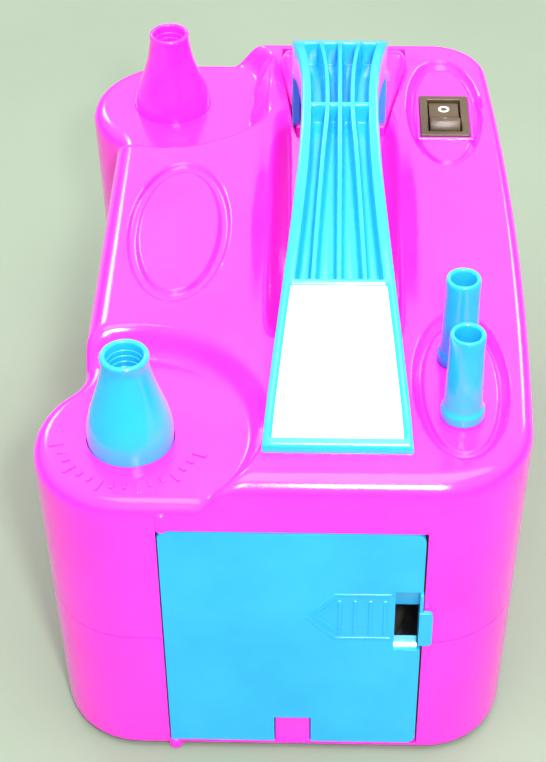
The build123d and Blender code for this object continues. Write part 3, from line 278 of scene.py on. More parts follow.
def make_piece(name, vertices, faces, slot, body="housing", replaced=(), sharp=35.0, paint=None,
               solid=True):
    """Mesh object from millimetre vertices, riding on a body and standing for CAD nodes."""
    mesh = bpy.data.meshes.new(name)
    mesh.from_pydata([tuple(float(c) * MM for c in v) for v in vertices], [], faces)
    mesh.validate()
    work = bmesh.new()
    work.from_mesh(mesh)
    bmesh.ops.delete(work, geom=[v for v in work.verts if not v.link_faces], context="VERTS")
    if solid:
        bmesh.ops.recalc_face_normals(work, faces=work.faces)
    work.to_mesh(mesh)
    work.free()
    mesh.shade_smooth()
    mesh.set_sharp_from_angle(angle=math.radians(sharp))
    mesh.materials.append(paint or MATERIALS[slot])
    made = in_scene(name, mesh)
    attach(made, body)
    if replaced:
        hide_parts(*replaced)
    return made


BEVEL_ANGLE = 40.0


def bevel(made, width, segments):
    """Rounds the sharp edges of a piece."""
    modifier = made.modifiers.new("edges", "BEVEL")
    modifier.width = width * MM
    modifier.segments = segments
    modifier.limit_method = "ANGLE"
    modifier.angle_limit = math.radians(BEVEL_ANGLE)
    modifier.harden_normals = True
    return made


def closed_ring(sections):
    """Vertices and faces through closed sections that follow each other round in a ring."""
    count, n = len(sections), len(sections[0])
    faces = []
    for k in range(count):
        m = (k + 1) % count
        for i in range(n):
            j = (i + 1) % n
            faces.append((k * n + i, m * n + i, m * n + j, k * n + j))
    return [v for section in sections for v in section], faces


def lathe(profile, x, y, count):
    """Vertices and faces of a closed (radius, height) profile turned about an upright axis."""
    turns = [2 * math.pi * k / count for k in range(count)]
    return closed_ring([[(x + r * math.cos(a), y + r * math.sin(a), z) for r, z in profile] for a in turns])


def turned_round(points, radius):
    """Closed profile with its corners rounded, apart from the blunt ones."""
    steps = 4
    out = []
    n = len(points)
    for i in range(n):
        p = Vector(points[i])
        before = Vector(points[i - 1]) - p
        after = Vector(points[(i + 1) % n]) - p
        turn = before.angle(after, math.pi)
        cut = min(radius, 0.45 * before.length, 0.45 * after.length)
        if turn > math.radians(155):
            out.append(tuple(p))
            continue
        a = p + before.normalized() * cut
        b = p + after.normalized() * cut
        for k in range(steps + 1):
            t = k / steps
            out.append(tuple(a * (1 - t) ** 2 + p * 2 * t * (1 - t) + b * t * t))
    return out


BOX_FACES = [(0, 1, 3, 2), (4, 6, 7, 5), (0, 4, 5, 1), (2, 3, 7, 6), (0, 2, 6, 4), (1, 5, 7, 3)]


def box_mesh(x0, x1, y0, y1, z0, z1):
    """Vertices and faces of a box."""
    return [(x, y, z) for x in (x0, x1) for y in (y0, y1) for z in (z0, z1)], BOX_FACES


def joined(*parts):
    """Vertices and faces of several meshes as one."""
    vertices, faces = [], []
    for part_vertices, part_faces in parts:
        base = len(vertices)
        vertices += list(part_vertices)
        faces += [tuple(i + base for i in face) for face in part_faces]
    return vertices, faces


def triangulated(loops, extra):
    """Points and triangles that fill the first loop, less the other loops, using extra points too."""
    points = [Vector(p) for loop in loops for p in loop]
    edges, base = [], 0
    for loop in loops:
        n = len(loop)
        edges += [(base + i, base + (i + 1) % n) for i in range(n)]
        base += n
    points += [Vector(p) for p in extra]
    flat, _, faces = delaunay_2d_cdt(points, edges, [], 0, 1e-5)[:3]
    flat = np.array([tuple(p) for p in flat])
    triangles = np.array([tuple(f) for f in faces])
    centres = flat[triangles].mean(axis=1)
    keep = inside(centres, np.array(loops[0]))
    for loop in loops[1:]:
        keep &= ~inside(centres, np.array(loop))
    triangles = triangles[keep]
    a, b, c = flat[triangles[:, 0]], flat[triangles[:, 1]], flat[triangles[:, 2]]
    turn = (b - a)[:, 0] * (c - a)[:, 1] - (b - a)[:, 1] * (c - a)[:, 0]
    triangles[turn < 0] = triangles[turn < 0][:, ::-1]
    return flat, triangles


def slab(loops, low, high, extra=()):
    """Solid inside loops, from a height up to a height or to a surface given as a function of points."""
    flat, triangles = triangulated(loops, extra)
    n = len(flat)
    top = high(flat) if callable(high) else np.full(n, high)
    vertices = [(x, y, z) for (x, y), z in zip(flat, top)] + [(x, y, low) for x, y in flat]
    faces = [tuple(t) for t in triangles] + [(c + n, b + n, a + n) for a, b, c in triangles]
    used = dict.fromkeys(edge for a, b, c in triangles for edge in ((a, b), (b, c), (c, a)))
    faces += [(b, a, a + n, b + n) for a, b in used if (b, a) not in used]
    return vertices, faces


# ================ housing
def housing_outline():
    """Points and outward normals round the housing, seen from above, from the front left onwards."""
    bx, by, radius = circle_through(*RIGHT_WALL)
    front_y = -HALF_LENGTH + FRONT_CORNER
    rear_y = HALF_LENGTH - REAR_CORNER
    front_x = bx + math.sqrt((radius - FRONT_CORNER) ** 2 - (front_y - by) ** 2)
    rear_x = bx + math.sqrt((radius - REAR_CORNER) ** 2 - (rear_y - by) ** 2)
    low = math.degrees(math.atan2(front_y - by, front_x - bx))
    high = math.degrees(math.atan2(rear_y - by, rear_x - bx))
    flare_x = WAIST_X - FLARE
    reach = math.sqrt((LOBE_RADIUS + FLARE) ** 2 - (LOBE_X - flare_x) ** 2)
    turn = math.degrees(math.atan2(reach, LOBE_X - flare_x))
    flare_y = LOBE_Y - reach
    stops = [LOBE_X, DOOR[0] - DOOR_GAPS[0], NOTCH[0], NOTCH[1], DOOR[1] + DOOR_GAPS[1], front_x]
    rows = run([(x, -HALF_LENGTH) for x in stops], (0, -1))
    rows += arc(front_x, front_y, FRONT_CORNER, -90, low)
    rows += arc(bx, by, radius, low, high)
    rows += arc(rear_x, rear_y, REAR_CORNER, high, 90)
    rows += run([(rear_x, HALF_LENGTH), (LOBE_X, HALF_LENGTH)], (0, 1))
    rows += arc(LOBE_X, LOBE_Y, LOBE_RADIUS, 90, 180 + turn)
    rows += arc(flare_x, flare_y, FLARE, turn, 0, outward=-1.0)
    rows += run([(WAIST_X, flare_y), (WAIST_X, -flare_y)], (-1, 0))
    rows += arc(flare_x, -flare_y, FLARE, 0, -turn, outward=-1.0)
    rows += arc(LOBE_X, -LOBE_Y, LOBE_RADIUS, 180 - turn, 270)
    return np.array(rows)


OUTLINE = housing_outline()


def lobe_ramp(x, y, lobe_y, inner, outer):
    """0 on a nozzle floor and 1 on the deck, with a soft round step between two radii."""
    return ease((np.hypot(x - LOBE_X, y - lobe_y) - inner) / (outer - inner))


def ellipse_gap(x, y, cx, cy, half_x, half_y):
    """Distance outside an ellipse, negative inside it."""
    q = np.hypot((x - cx) / half_x, (y - cy) / half_y) + 1e-9
    slope = np.hypot((x - cx) / half_x ** 2, (y - cy) / half_y ** 2) / q + 1e-9
    return (q - 1) / slope


GROOVE_SIDE = 0.36


def ring_groove(x, y, centre, outer, inner, depth, floor=0.0):
    """Drop of a soft oval groove between two ellipses, and of the floor inside it."""
    from_outer = -ellipse_gap(x, y, *centre, *outer)
    from_inner = ellipse_gap(x, y, *centre, *inner)
    t = np.clip(from_outer / np.maximum(from_outer + from_inner, 0.5), 0, 1)
    t = np.where(from_outer <= 0, 0.0, np.where(from_inner <= 0, 1.0, t))
    groove = depth * ease(t / GROOVE_SIDE) * ease((1 - t) / GROOVE_SIDE)
    return groove + floor * ease((t - 0.1) / 0.8)


SOCKET_FRONT = 57.0
SEAM_LEFT = (1.0, 5.6, 29.0)
SEAM_RIGHT = (28.5, 7.5, 31.0)


def seam_left(y):
    """X of the handle socket's left seam, from its start, its shift and the length of its slanted part."""
    return SEAM_LEFT[0] - SEAM_LEFT[1] * np.clip((y - SOCKET_FRONT) / SEAM_LEFT[2], 0, 1)


def seam_right(y):
    """X of the handle socket's right seam."""
    return SEAM_RIGHT[0] + SEAM_RIGHT[1] * np.clip((y - SOCKET_FRONT) / SEAM_RIGHT[2], 0, 1)


def collar(x, y):
    """Rise of the deck into soft ridges beside the handle's rear socket."""
    rear = ease((y - 60.0) / 22.0) * (1 - ease((y - 86.0) / 15.0))
    left = 3.2 * np.exp(-((seam_left(y) - x - 4.6) / 3.6) ** 2)
    right = 1.3 * np.exp(-((x - seam_right(y) - 2.2) / 4.2) ** 2)
    return rear * (left + right)


VALLEY_DEPTH = 24.0
VALLEY_RADIUS = 75.0
VALLEY_MIDDLE = (13.0, 8.0)
VALLEY_EDGE = 1.4


def hand_valley(x, y):
    """Depth of the scoop under the handle: an arch along it, with a steep side inside a shallow one."""
    arch = np.sqrt(np.maximum(VALLEY_RADIUS ** 2 - (y - VALLEY_MIDDLE[1]) ** 2, 0.0))
    depth = VALLEY_EDGE * np.logaddexp(0.0, (VALLEY_DEPTH - (VALLEY_RADIUS - arch)) / VALLEY_EDGE)
    across = np.abs(x - VALLEY_MIDDLE[0])
    side = 0.08 * ease((27.0 - across) / 9.0) + 0.92 * ease((20.0 - across) / 6.5)
    return depth * side


def right_wall_gap(x, y):
    """Distance inward from the bowed right wall."""
    centre_x, centre_y, radius = circle_through(*RIGHT_WALL)
    return radius - np.hypot(x - centre_x, y - centre_y)


STEP_FOOT = 30.2
STEP_HEAD = 38.0


def plain_deck(x, y):
    """Height of the upper skin without its oval grooves and the scoop for the hand."""
    ridge = ease((y - 58.0) / 18.0) * ease((x - LOBE_X) / 20.0) * (1 - ease((y - 81.0) / 20.0))
    near = lobe_ramp(x, y, -LOBE_Y, STEP_FOOT, STEP_HEAD)
    far = lobe_ramp(x, y, LOBE_Y, STEP_FOOT - 5.0 * ridge, STEP_HEAD - 4.6 * ridge)
    return LOBE_Z + (DECK_Z - LOBE_Z + collar(x, y)) * near * far


def deck_height(x, y):
    """Height of the upper skin over the whole plan."""
    floor = DECK_Z - WELL_FLOOR
    grooves = ring_groove(x, y, *WAIST_RING, WAIST_DEPTH)
    grooves = grooves + ring_groove(x, y, *SPARE_RING, WELL_DEPTH, floor)
    grooves = grooves + ring_groove(x, y, *SWITCH_RING, WELL_DEPTH, floor)
    fade = ease((right_wall_gap(x, y) - 2.0) / 2.0)
    return plain_deck(x, y) - grooves * fade - hand_valley(x, y)


RIM_STEPS = 9


def skin_rows(levels, edge_radius, top):
    """Rings of the side wall and of the rounded rim above or below it, as arrays of points."""
    x, y, nx, ny = OUTLINE.T
    rings = []
    for level in levels:
        z = level if np.ndim(level) else np.full(len(x), level)
        lean = DRAFT * np.clip(1 - z / LOBE_Z, 0, 1)
        rings.append(np.column_stack([x - lean * nx * np.abs(nx), y, z]))
    last = rings[-1]
    for k in range(1, RIM_STEPS + 1):
        a = 0.5 * math.pi * k / RIM_STEPS
        cut = edge_radius * (1 - math.cos(a))
        px, py = last[:, 0] - nx * cut, last[:, 1] - ny * cut
        if top:
            pz = deck_height(px, py) - edge_radius * (1 - math.sin(a))
        else:
            pz = last[:, 2] - edge_radius * math.sin(a)
        rings.append(np.column_stack([px, py, pz]))
    return rings


def wall_faces(count, rows, skip):
    """Quads between rings of a wall, without those that skip says are open."""
    faces = []
    for r in range(rows - 1):
        for i in range(count):
            j = (i + 1) % count
            if not skip(r, i, j):
                faces.append((r * count + i, r * count + j, (r + 1) * count + j, (r + 1) * count + i))
    return faces


RINGS = (WAIST_RING, SPARE_RING, SWITCH_RING)
BAND = (24.0, 39.8)


def near_round_feature(points):
    """Which of the points lie in a band that the points of a groove or a nozzle step fill."""
    x, y = points.T
    found = np.zeros(len(points), bool)
    for centre, outer, inner in RINGS:
        found |= (ellipse_gap(x, y, *centre, *outer) < 1.2) & (ellipse_gap(x, y, *centre, *inner) > -1.2)
    for side in (-1, 1):
        away = np.hypot(x - LOBE_X, y - side * LOBE_Y)
        found |= (away > 23.6) & (away < 40.0)
    return found


def feature_points():
    """Points in rings along the oval grooves and the round steps, so that their shading is even."""
    points = []
    for (cx, cy), outer, inner in RINGS:
        for t in np.linspace(-0.25, 1.25, 16):
            half_x = outer[0] + (inner[0] - outer[0]) * t
            half_y = outer[1] + (inner[1] - outer[1]) * t
            for a in np.linspace(0, 2 * math.pi, 170, False):
                points.append((cx + half_x * math.cos(a), cy + half_y * math.sin(a)))
    for side, step, count in ((-1, 0.75, 190), (1, 0.45, 300)):
        for reach in np.arange(*BAND, step):
            for a in np.linspace(0, 2 * math.pi, count, False):
                points.append((LOBE_X + reach * math.cos(a), side * LOBE_Y + reach * math.sin(a)))
    return np.array(points)


def filled_rim(rings, holes, spacing, fine, round_points):
    """Mesh of wall rings whose last ring is filled with a surface that has holes."""
    rim = rings[-1][:, :2]
    low, high = rim.min(axis=0), rim.max(axis=0)
    xs = np.arange(low[0], high[0], spacing)
    for x0, x1, step in fine:
        xs = np.concatenate([xs[(xs < x0) | (xs > x1)], np.arange(x0, x1, step)])
    ys = np.arange(low[1], high[1], spacing)
    grid = np.array([(x, y) for x in xs for y in ys])
    shrunk = rim - 0.8 * spacing * OUTLINE[:, 2:4]
    keep = inside(grid, shrunk)
    for hole in holes:
        centre = np.mean(hole, axis=0)
        reach = np.hypot(*(np.array(hole) - centre).T)[:, None]
        grown = centre + (np.array(hole) - centre) * (1 + 0.6 * spacing / reach)
        keep &= ~inside(grid, grown)
    grid = grid[keep]
    if round_points is not None:
        grid = grid[~near_round_feature(grid)]
        kept = inside(round_points, shrunk)
        for hole in holes:
            centre = np.mean(hole, axis=0)
            kept &= ~inside(round_points, centre + (np.array(hole) - centre) * 1.08)
        grid = np.vstack([grid, round_points[kept]])
    return triangulated([[tuple(p) for p in rim], *holes], [tuple(p) for p in grid])


def in_doorway(low, high, x):
    """Whether a stretch of the front wall is the cord door's opening."""
    left, right, bottom, top = DOOR
    return left - 0.4 < x < right + DOOR_GAPS[1] and low >= bottom - 0.5 and high <= top + 0.5


TOP_SPACING = 1.25
BASE_SPACING = 3.0
FINE_BANDS = ((-8.0, 2.0, 0.6), (24.0, 34.0, 0.6))


def housing_half(name, levels, edge_radius, top, holes, replaced):
    """Half of the housing: side wall, rounded rim and a filled top or bottom, with a wall thickness."""
    rings = skin_rows(levels, edge_radius, top)
    count = len(OUTLINE)
    flat_levels = [float(np.max(level)) for level in levels]

    def skip(r, i, j):
        if r >= len(flat_levels) - 1:
            return False
        middle = (OUTLINE[i, 0] + OUTLINE[j, 0]) / 2
        low, high = sorted((flat_levels[r], flat_levels[r + 1]))
        return OUTLINE[i, 1] < -HALF_LENGTH + 0.3 and in_doorway(low, high, middle)

    faces = wall_faces(count, len(rings), skip)
    vertices = np.vstack(rings)
    if top:
        flat, triangles = filled_rim(rings, holes, TOP_SPACING, FINE_BANDS, feature_points())
        z = deck_height(flat[:, 0], flat[:, 1])
    else:
        flat, triangles = filled_rim(rings, holes, BASE_SPACING, (), None)
        z = np.full(len(flat), FOOT_LIFT)
    base = len(vertices) - count
    fill_index = np.arange(len(flat)) + len(vertices)
    rim_points = {(round(x, 3), round(y, 3)): base + k for k, (x, y) in enumerate(rings[-1][:, :2])}
    for k, (x, y) in enumerate(flat):
        fill_index[k] = rim_points.get((round(x, 3), round(y, 3)), fill_index[k])
    vertices = np.vstack([vertices, np.column_stack([flat, z])])
    faces += [tuple(int(i) for i in fill_index[t]) for t in triangles]
    if not top:
        faces = [f[::-1] for f in faces]
    made = make_piece(name, vertices, faces, "pink_shell", replaced=replaced, sharp=50.0, solid=False)
    work = bmesh.new()
    work.from_mesh(made.data)
    for edge in work.edges:
        if edge.is_boundary:
            edge.smooth = False
    work.to_mesh(made.data)
    work.free()
    thick = made.modifiers.new("wall", "SOLIDIFY")
    thick.thickness = WALL * MM
    thick.offset = -1.0
    thick.use_even_offset = False
    return made


PARTING_GAP = 0.15
PARTING_LIP = 0.6


def height_by_rim():
    """Height of the skin just inside the rounded rim, along the outline."""
    x, y, nx, ny = OUTLINE.T
    return plain_deck(x - nx * RIM_INSET, y - ny * RIM_INSET)


def upper_levels():
    """Heights of the upper wall's rings, up to where the rounded rim starts."""
    rim_z = height_by_rim() - upper_edge()
    door_top = DOOR[3]
    levels = [PARTING_Z + PARTING_GAP, PARTING_Z + PARTING_LIP]
    levels += list(np.linspace(PARTING_Z + 6, door_top + DOOR_CLEAR, 8))
    return levels + [door_top + DOOR_CLEAR + (rim_z - door_top - DOOR_CLEAR) * 0.5, rim_z]


def upper_edge():
    """Rim radius along the upper outline: broad in front and on the left, tighter on the right and rear."""
    x, y, nx, ny = OUTLINE.T
    on_deck = np.clip((height_by_rim() - LOBE_Z) / (DECK_Z - LOBE_Z), 0, 1)
    tighter = ease((nx + np.maximum(ny, 0) - 0.3) / 0.65)
    return RIM_FLOOR + (RIM_DECK_MORE - RIM_RIGHT_LESS * tighter) * on_deck


NEAR_OPENING = 11.68
FAR_OPENING = 12.34
upper_holes = [circle(LOBE_X, -LOBE_Y, NEAR_OPENING, 96), circle(LOBE_X, LOBE_Y, FAR_OPENING, 96),
               SOCKET_PLAN, rectangle(*SWITCH, 6.8, 9.8)]
housing_half("housing_top", upper_levels(), upper_edge(), True, upper_holes, ["upper_shell"])

# air slots under the motor and the wells of the screws
MOTOR = (5.0, 12.0)
SLOT_REACH = 26.0
SLOT_PITCH = 5
BASE_RIM = 1.6
SCREW_WELL = 3.2
slots = []
for step in range(-5, 6):
    half = math.sqrt(SLOT_REACH ** 2 - (SLOT_PITCH * step) ** 2)
    slots.append(rectangle(MOTOR[0] + SLOT_PITCH * step, MOTOR[1], 1.5, half))
lower_holes = slots + [circle(x, y, SCREW_WELL, 24) for x, y in POSTS]
lower_levels = [PARTING_Z - PARTING_GAP, PARTING_Z - PARTING_LIP, 36.0, 25.0, NOTCH[2], 9.0,
                DOOR[2] - 0.2, FOOT_LIFT + BASE_RIM]
housing_half("housing_base", lower_levels, BASE_RIM, False, lower_holes, ["lower_shell"])


# ================ handle
HANDLE_HALF = smooth_curve([(-94, 19.3), (-76, 17.5), (-52, 15.0), (-30, 13.0), (-8, 11.5), (12, 11.0),
                            (28, 11.3), (42, 12.6), (54, 14.2), (70, 14.8), (98, 14.8)])
HANDLE_TOP = smooth_curve([(-94, 107.2), (-87, 112.0), (-76, 117.0), (-52, 126.4), (-20, 135.2),
                           (12, 139.6), (36, 139.8), (54, 136.0), (70, 126.3), (84, 116.5), (98, 105.0)])
HANDLE_UNDER = smooth_curve([(-66, 105.0), (-52, 113.5), (-20, 123.5), (12, 128.0), (34, 128.2),
                             (50, 124.5), (62, 116.0), (70, 104.5), (74, 98.0)])
RIB_OFFSET = smooth_curve([(-51, 6.9), (-29, 5.8), (-8, 4.7), (13, 3.6), (26, 3.7), (45, 5.0), (66, 7.6)])
RAIL_WIDTH = smooth_curve([(-51, 3.3), (-8, 3.1), (13, 2.9), (66, 3.0)])
RIB_WIDTH = 1.5
LABEL_Y = (-92.2, -51.2)
LABEL_DEPTH = 0.55


def channel_depth(y):
    """Depth of the handle's channels along its length, with a cross rib between two spans."""
    near = 5.6 * ease((y + 50.6) / 1.5) * ease((13.9 - y) / 1.4)
    far = 7.6 * ease((y - 14.7) / 1.6) * ease((53.4 - y) / 2.2)
    return near + far


def channel(x0, x1, top, depth):
    """Section of one channel from left to right, with soft edges and a round foot."""
    soft = min(0.35, 0.2 * (x1 - x0))
    side = [(soft * t - soft, drop * min(depth, 1)) for t, drop in ((0.0, 0.0), (0.45, 0.12), (0.8, 0.5))]
    side += [(0.18, 0.72 * depth), (0.45, 0.95 * depth), (0.9, depth)]
    left = [(x0 + inward, top - drop) for inward, drop in side]
    right = [(x1 - inward, top - drop) for inward, drop in side[::-1]]
    return left + [((x0 + x1) / 2, top - depth)] + right


def handle_section(y):
    """Closed loop of one cross-section of the handle, its left half mirrored."""
    half, top = float(HANDLE_HALF(y)), float(HANDLE_TOP(y))
    bottom = float(HANDLE_UNDER(y)) if y > -66 else DECK_Z - 0.1
    bottom = min(bottom, top - 1.2)
    depth = min(float(channel_depth(y)), 0.8 * (top - bottom))
    rail, rib = float(RAIL_WIDTH(y)), float(RIB_OFFSET(y))
    bed = top - LABEL_DEPTH * float(ease((y - LABEL_Y[0]) / 0.5) * ease((LABEL_Y[1] - y) / 0.5))
    side = [(0.9, bottom), (0.3, bottom + 0.3), (0.0, bottom + 0.9), (0.0, top - 0.9), (0.12, top - 0.5),
            (0.45, top - 0.14), (1.0, top), (2.0, top), (2.2, bed)]
    left = [(inward - half, z) for inward, z in side]
    left += channel(rail - half, -rib - RIB_WIDTH / 2, bed, depth)
    left += channel(RIB_WIDTH / 2 - rib, -RIB_WIDTH / 2, bed, depth)
    return [(HANDLE_X + x, y, z) for x, z in left] + [(HANDLE_X - x, y, z) for x, z in left[::-1]]


def loft(sections):
    """Vertices and faces through closed sections, closed at both ends."""
    n = len(sections[0])
    vertices = [v for section in sections for v in section]
    faces = [tuple(range(n))[::-1], tuple(range((len(sections) - 1) * n, len(sections) * n))]
    for r in range(len(sections) - 1):
        for i in range(n):
            j = (i + 1) % n
            faces.append((r * n + i, r * n + j, (r + 1) * n + j, (r + 1) * n + i))
    return vertices, faces


# spans of the handle's sections, each with its spacing: the whole of it, then wherever its form changes
SPANS = ((-94.0, 98.01, 1.5), (-93.0, -91.2, 0.2), (-54.4, -49.0, 0.2), (12.0, 17.0, 0.2),
         (50.6, 54.0, 0.2), (-67, -64, 0.4), (60, 76, 0.5))
stations = sorted({round(float(y), 3) for span in SPANS for y in np.arange(*span)})
make_piece("handle_grip", *loft([handle_section(y) for y in stations]), "cyan_plastic",
           replaced=["carry_handle"], sharp=75.0)

leg_outline = [(59.0, 103.0), (60.6, 100.8), (63.5, 99.8), (87.0, 99.8), (87.0, 107.5), (78.0, 115.0),
               (66.0, 122.0), (60.0, 124.6), (55.6, 123.6), (57.4, 114.0), (58.2, 104.6)]
LEG_MIDDLE = 13.4
LEG_HALF = 1.2
for label, side in (("left", -1), ("right", 1)):
    leg_x = HANDLE_X + side * LEG_MIDDLE
    leg_vertices, leg_faces = slab([leg_outline], leg_x - LEG_HALF, leg_x + LEG_HALF)
    leg_vertices = [(x, y, z) for y, z, x in leg_vertices]
    bevel(make_piece(f"handle_leg_{label}", leg_vertices, leg_faces, "cyan_plastic"), 0.5, 3)

label_sections = []
for y in np.arange(LABEL_Y[0] + 0.3, LABEL_Y[1] - 0.2, 1.2):
    half, top = float(HANDLE_HALF(y)) - 2.35, float(HANDLE_TOP(y))
    wave = 0.05 * math.sin(0.31 * y) + 0.03 * math.sin(0.83 * y + 1.0)
    across = np.linspace(-half, half, 15)
    upper = [(HANDLE_X + x, y, top - 0.12 + wave * math.cos(0.23 * x)) for x in across]
    lower = [(HANDLE_X + x, y, top - 0.6) for x in across[::-1]]
    label_sections.append(upper + lower)
plate = make_piece("blank_plate", *loft(label_sections), "silver_label", replaced=["handle_label"],
                   sharp=60.0)
bevel(plate, 0.1, 2)


# ================ handle socket
SHOULDER = ((57, 64, 72, 80, 86, 91, 96, 101), (103.6, 104.6, 107.2, 110.4, 112.0, 110.6, 107.6, 104.6))
SOCKET_INSIDE = [(1.6, 57.4), (28.0, 57.4), (35.4, 88.0), (35.4, 100.6), (-4.0, 100.6), (-4.0, 86.2)]


def socket_top(flat):
    """Height of the socket's shoulders, which fall towards the seams."""
    x, y = flat[:, 0], flat[:, 1]
    rise = np.interp(y, *SHOULDER)
    gap = np.minimum(x - seam_left(y), seam_right(y) - x)
    fall = 1.7 * ease((y - 62) / 20) * (1 - ease(gap / 2.6)) + 0.5 * (1 - ease(gap / 0.9))
    return rise - fall


pocket = rectangle(HANDLE_X, 82.2, 14.95, 16.2)
socket_grid = np.array([(x, y) for x in np.arange(-4.0, 36.0, 0.8) for y in np.arange(57.6, 100.8, 0.8)])
socket_grid = socket_grid[inside(socket_grid, np.array(SOCKET_INSIDE))]
seam = [(x + 0.12 * (1 if x < 15 else -1), y) for x, y in SOCKET_PLAN]
make_piece("socket_insert", *slab([seam, pocket], 94.0, socket_top, socket_grid), "pink_shell",
           replaced=["handle_socket"], sharp=40.0)
socket_floor = box_mesh(HANDLE_X - 16.3, HANDLE_X + 16.3, 65.6, 98.8, 93.6, 97.8)
make_piece("socket_floor", *socket_floor, "pink_shell")


# ================ air nozzles
MOUTH = 4.85
LIP_ROUND = 0.75
NOZZLE_FOOT = 91.0


def bell_profile(outer, tip_z, lip, skirt):
    """Closed outline of a bell nozzle with a stepped bore; the outer points run upwards."""
    curve = smooth_curve([(z, r) for r, z in outer])
    low, top = outer[0][1], outer[-1][1]
    profile = [(skirt, NOZZLE_FOOT), (skirt + 0.1, low - 2.2)]
    profile += [(float(curve(z)), z) for z in np.linspace(low, top, 40)]
    for k in range(9):
        a = math.pi * k / 8
        reach = (lip + MOUTH) / 2 + (lip - MOUTH) / 2 * math.cos(a)
        profile.append((reach, tip_z - LIP_ROUND + LIP_ROUND * math.sin(a)))
    bore, z = 4.78, tip_z - 1.4
    for _ in range(5):
        profile += [(bore, z), (bore, z - 1.3), (bore - 0.16, z - 1.45)]
        bore, z = bore - 0.16, z - 1.7
    profile += [(4.0, z - 2), (4.0, 70.0), (6.7, 70.0), (6.7, 74.0), (4.95, 74.0), (4.95, 76.0)]
    return profile + [(6.7, 76.0), (6.7, NOZZLE_FOOT)]


near_outer = [(11.45, 96.2), (11.5, 98.0), (11.5, 100.6), (10.6, 105.6), (9.1, 110.5), (7.6, 115.4),
              (6.6, 119.5), (6.2, 122.6), (6.35, 124.3), (6.42, 124.7)]
far_outer = [(12.2, 96.4), (12.05, 99.6), (11.3, 102.6), (9.9, 106.4), (8.4, 110.6), (7.2, 114.8),
             (6.5, 119.0), (6.2, 121.6), (6.3, 122.5)]
make_piece("near_bell", *lathe(bell_profile(near_outer, 125.5, 6.4, 11.3), LOBE_X, -LOBE_Y, 128),
           "cyan_plastic", "near_nozzle", ["near_nozzle"], sharp=30.0)
make_piece("far_bell", *lathe(bell_profile(far_outer, 123.3, 6.25, 12.1), LOBE_X, LOBE_Y, 128),
           "pink_shell", "far_nozzle", ["far_nozzle"], sharp=30.0)


def opening_sleeve(y, radius):
    """Short sleeve of the housing that lines a nozzle's opening."""
    profile = [(radius, 88.5), (13.9, 88.5), (13.9, 96.4), (radius + 0.6, 96.95), (radius + 0.1, 96.7)]
    return lathe(profile, LOBE_X, y, 96)


sleeves = joined(opening_sleeve(-LOBE_Y, NEAR_OPENING), opening_sleeve(LOBE_Y, FAR_OPENING))
make_piece("nozzle_sleeves", *sleeves, "pink_shell", sharp=50.0)


# ================ spare nozzles, parked on two pegs
spare_profile = [(3.4, 103.6), (5.7, 103.6), (5.85, 104.4), (5.75, 106.4), (5.15, 107.4), (4.98, 109.5),
                 (4.75, 118.0), (4.5, 127.0), (4.62, 128.6), (4.6, 130.4), (4.3, 131.0), (3.7, 131.0),
                 (3.3, 130.5), (3.2, 129.0), (3.2, 116.0), (3.4, 115.0)]
for label, y in (("near", SPARE_Y[0]), ("far", SPARE_Y[1])):
    make_piece(f"spare_tube_{label}", *lathe(turned_round(spare_profile, 0.35), SPARE_X, y, 80),
               "cyan_plastic", f"spare_nozzle_{label}", [f"spare_nozzle_{label}"], sharp=38.0)


# ================ rocker switch
def switch_part(name, outer, hole, low, high, slot, edge, segments, replaced=()):
    """Frame round the rocker, between two heights, from the half sizes of its outside and its hole."""
    loops = [rectangle(*SWITCH, *outer), rectangle(*SWITCH, *hole)]
    bevel(make_piece(name, *slab(loops, low, high), slot, replaced=replaced), edge, segments)


switch_part("switch_bezel", (7.7, 11.25), (5.15, 9.0), 103.0, 104.9, "black_plastic", 0.4, 3,
            ["switch_frame"])
switch_part("switch_body", (6.6, 9.6), (5.15, 9.0), 90.0, 103.0, "black_plastic", 0.2, 2)
switch_part("switch_surround", (8.9, 12.5), (7.75, 11.3), 103.0, 104.35, "pink_shell", 0.45, 3)


def rocker_rise(y):
    """Height of the rocker's face above its pivot: two flats in a shallow V, with a bulging near end."""
    flat = 1.75 + 0.17 * max(abs(y) - 0.4, 0.0)
    return flat + (0.9 * float(ease((-y - 2.0) / 3.0)) if y < 0 else 0.0)


ROCKER_TILT = math.radians(-11.0)
ROCKER_PIVOT = 102.4


def on_rocker(x, y, z):
    """Point on the tilted rocker, from its pivot."""
    along = y * math.cos(ROCKER_TILT) - z * math.sin(ROCKER_TILT)
    up = y * math.sin(ROCKER_TILT) + z * math.cos(ROCKER_TILT)
    return (SWITCH[0] + x, SWITCH[1] + along, ROCKER_PIVOT + up)


def rocker_sections():
    """Sections across the rocker."""
    places = (-6.4, -5.4, -4.4, -3.4, -2.4, -1.2, -0.4, 0.4, 2.0, 4.0, 6.0, 7.9)
    profile = [(-8.4, 0.4), (-8.2, 1.8), (-7.4, 3.2)] + [(y, rocker_rise(y)) for y in places]
    profile += [(8.3, 2.6), (8.3, -1.4), (3.0, -3.6), (-3.0, -3.6), (-8.3, -1.4)]
    sections = []
    for x, trim in ((-4.7, 0.35), (-4.6, 0.12), (-4.3, 0.0), (4.3, 0.0), (4.6, 0.12), (4.7, 0.35)):
        sections.append([on_rocker(x, y * (1 - trim / 12), z - (trim if z > 0 else 0)) for y, z in profile])
    return sections


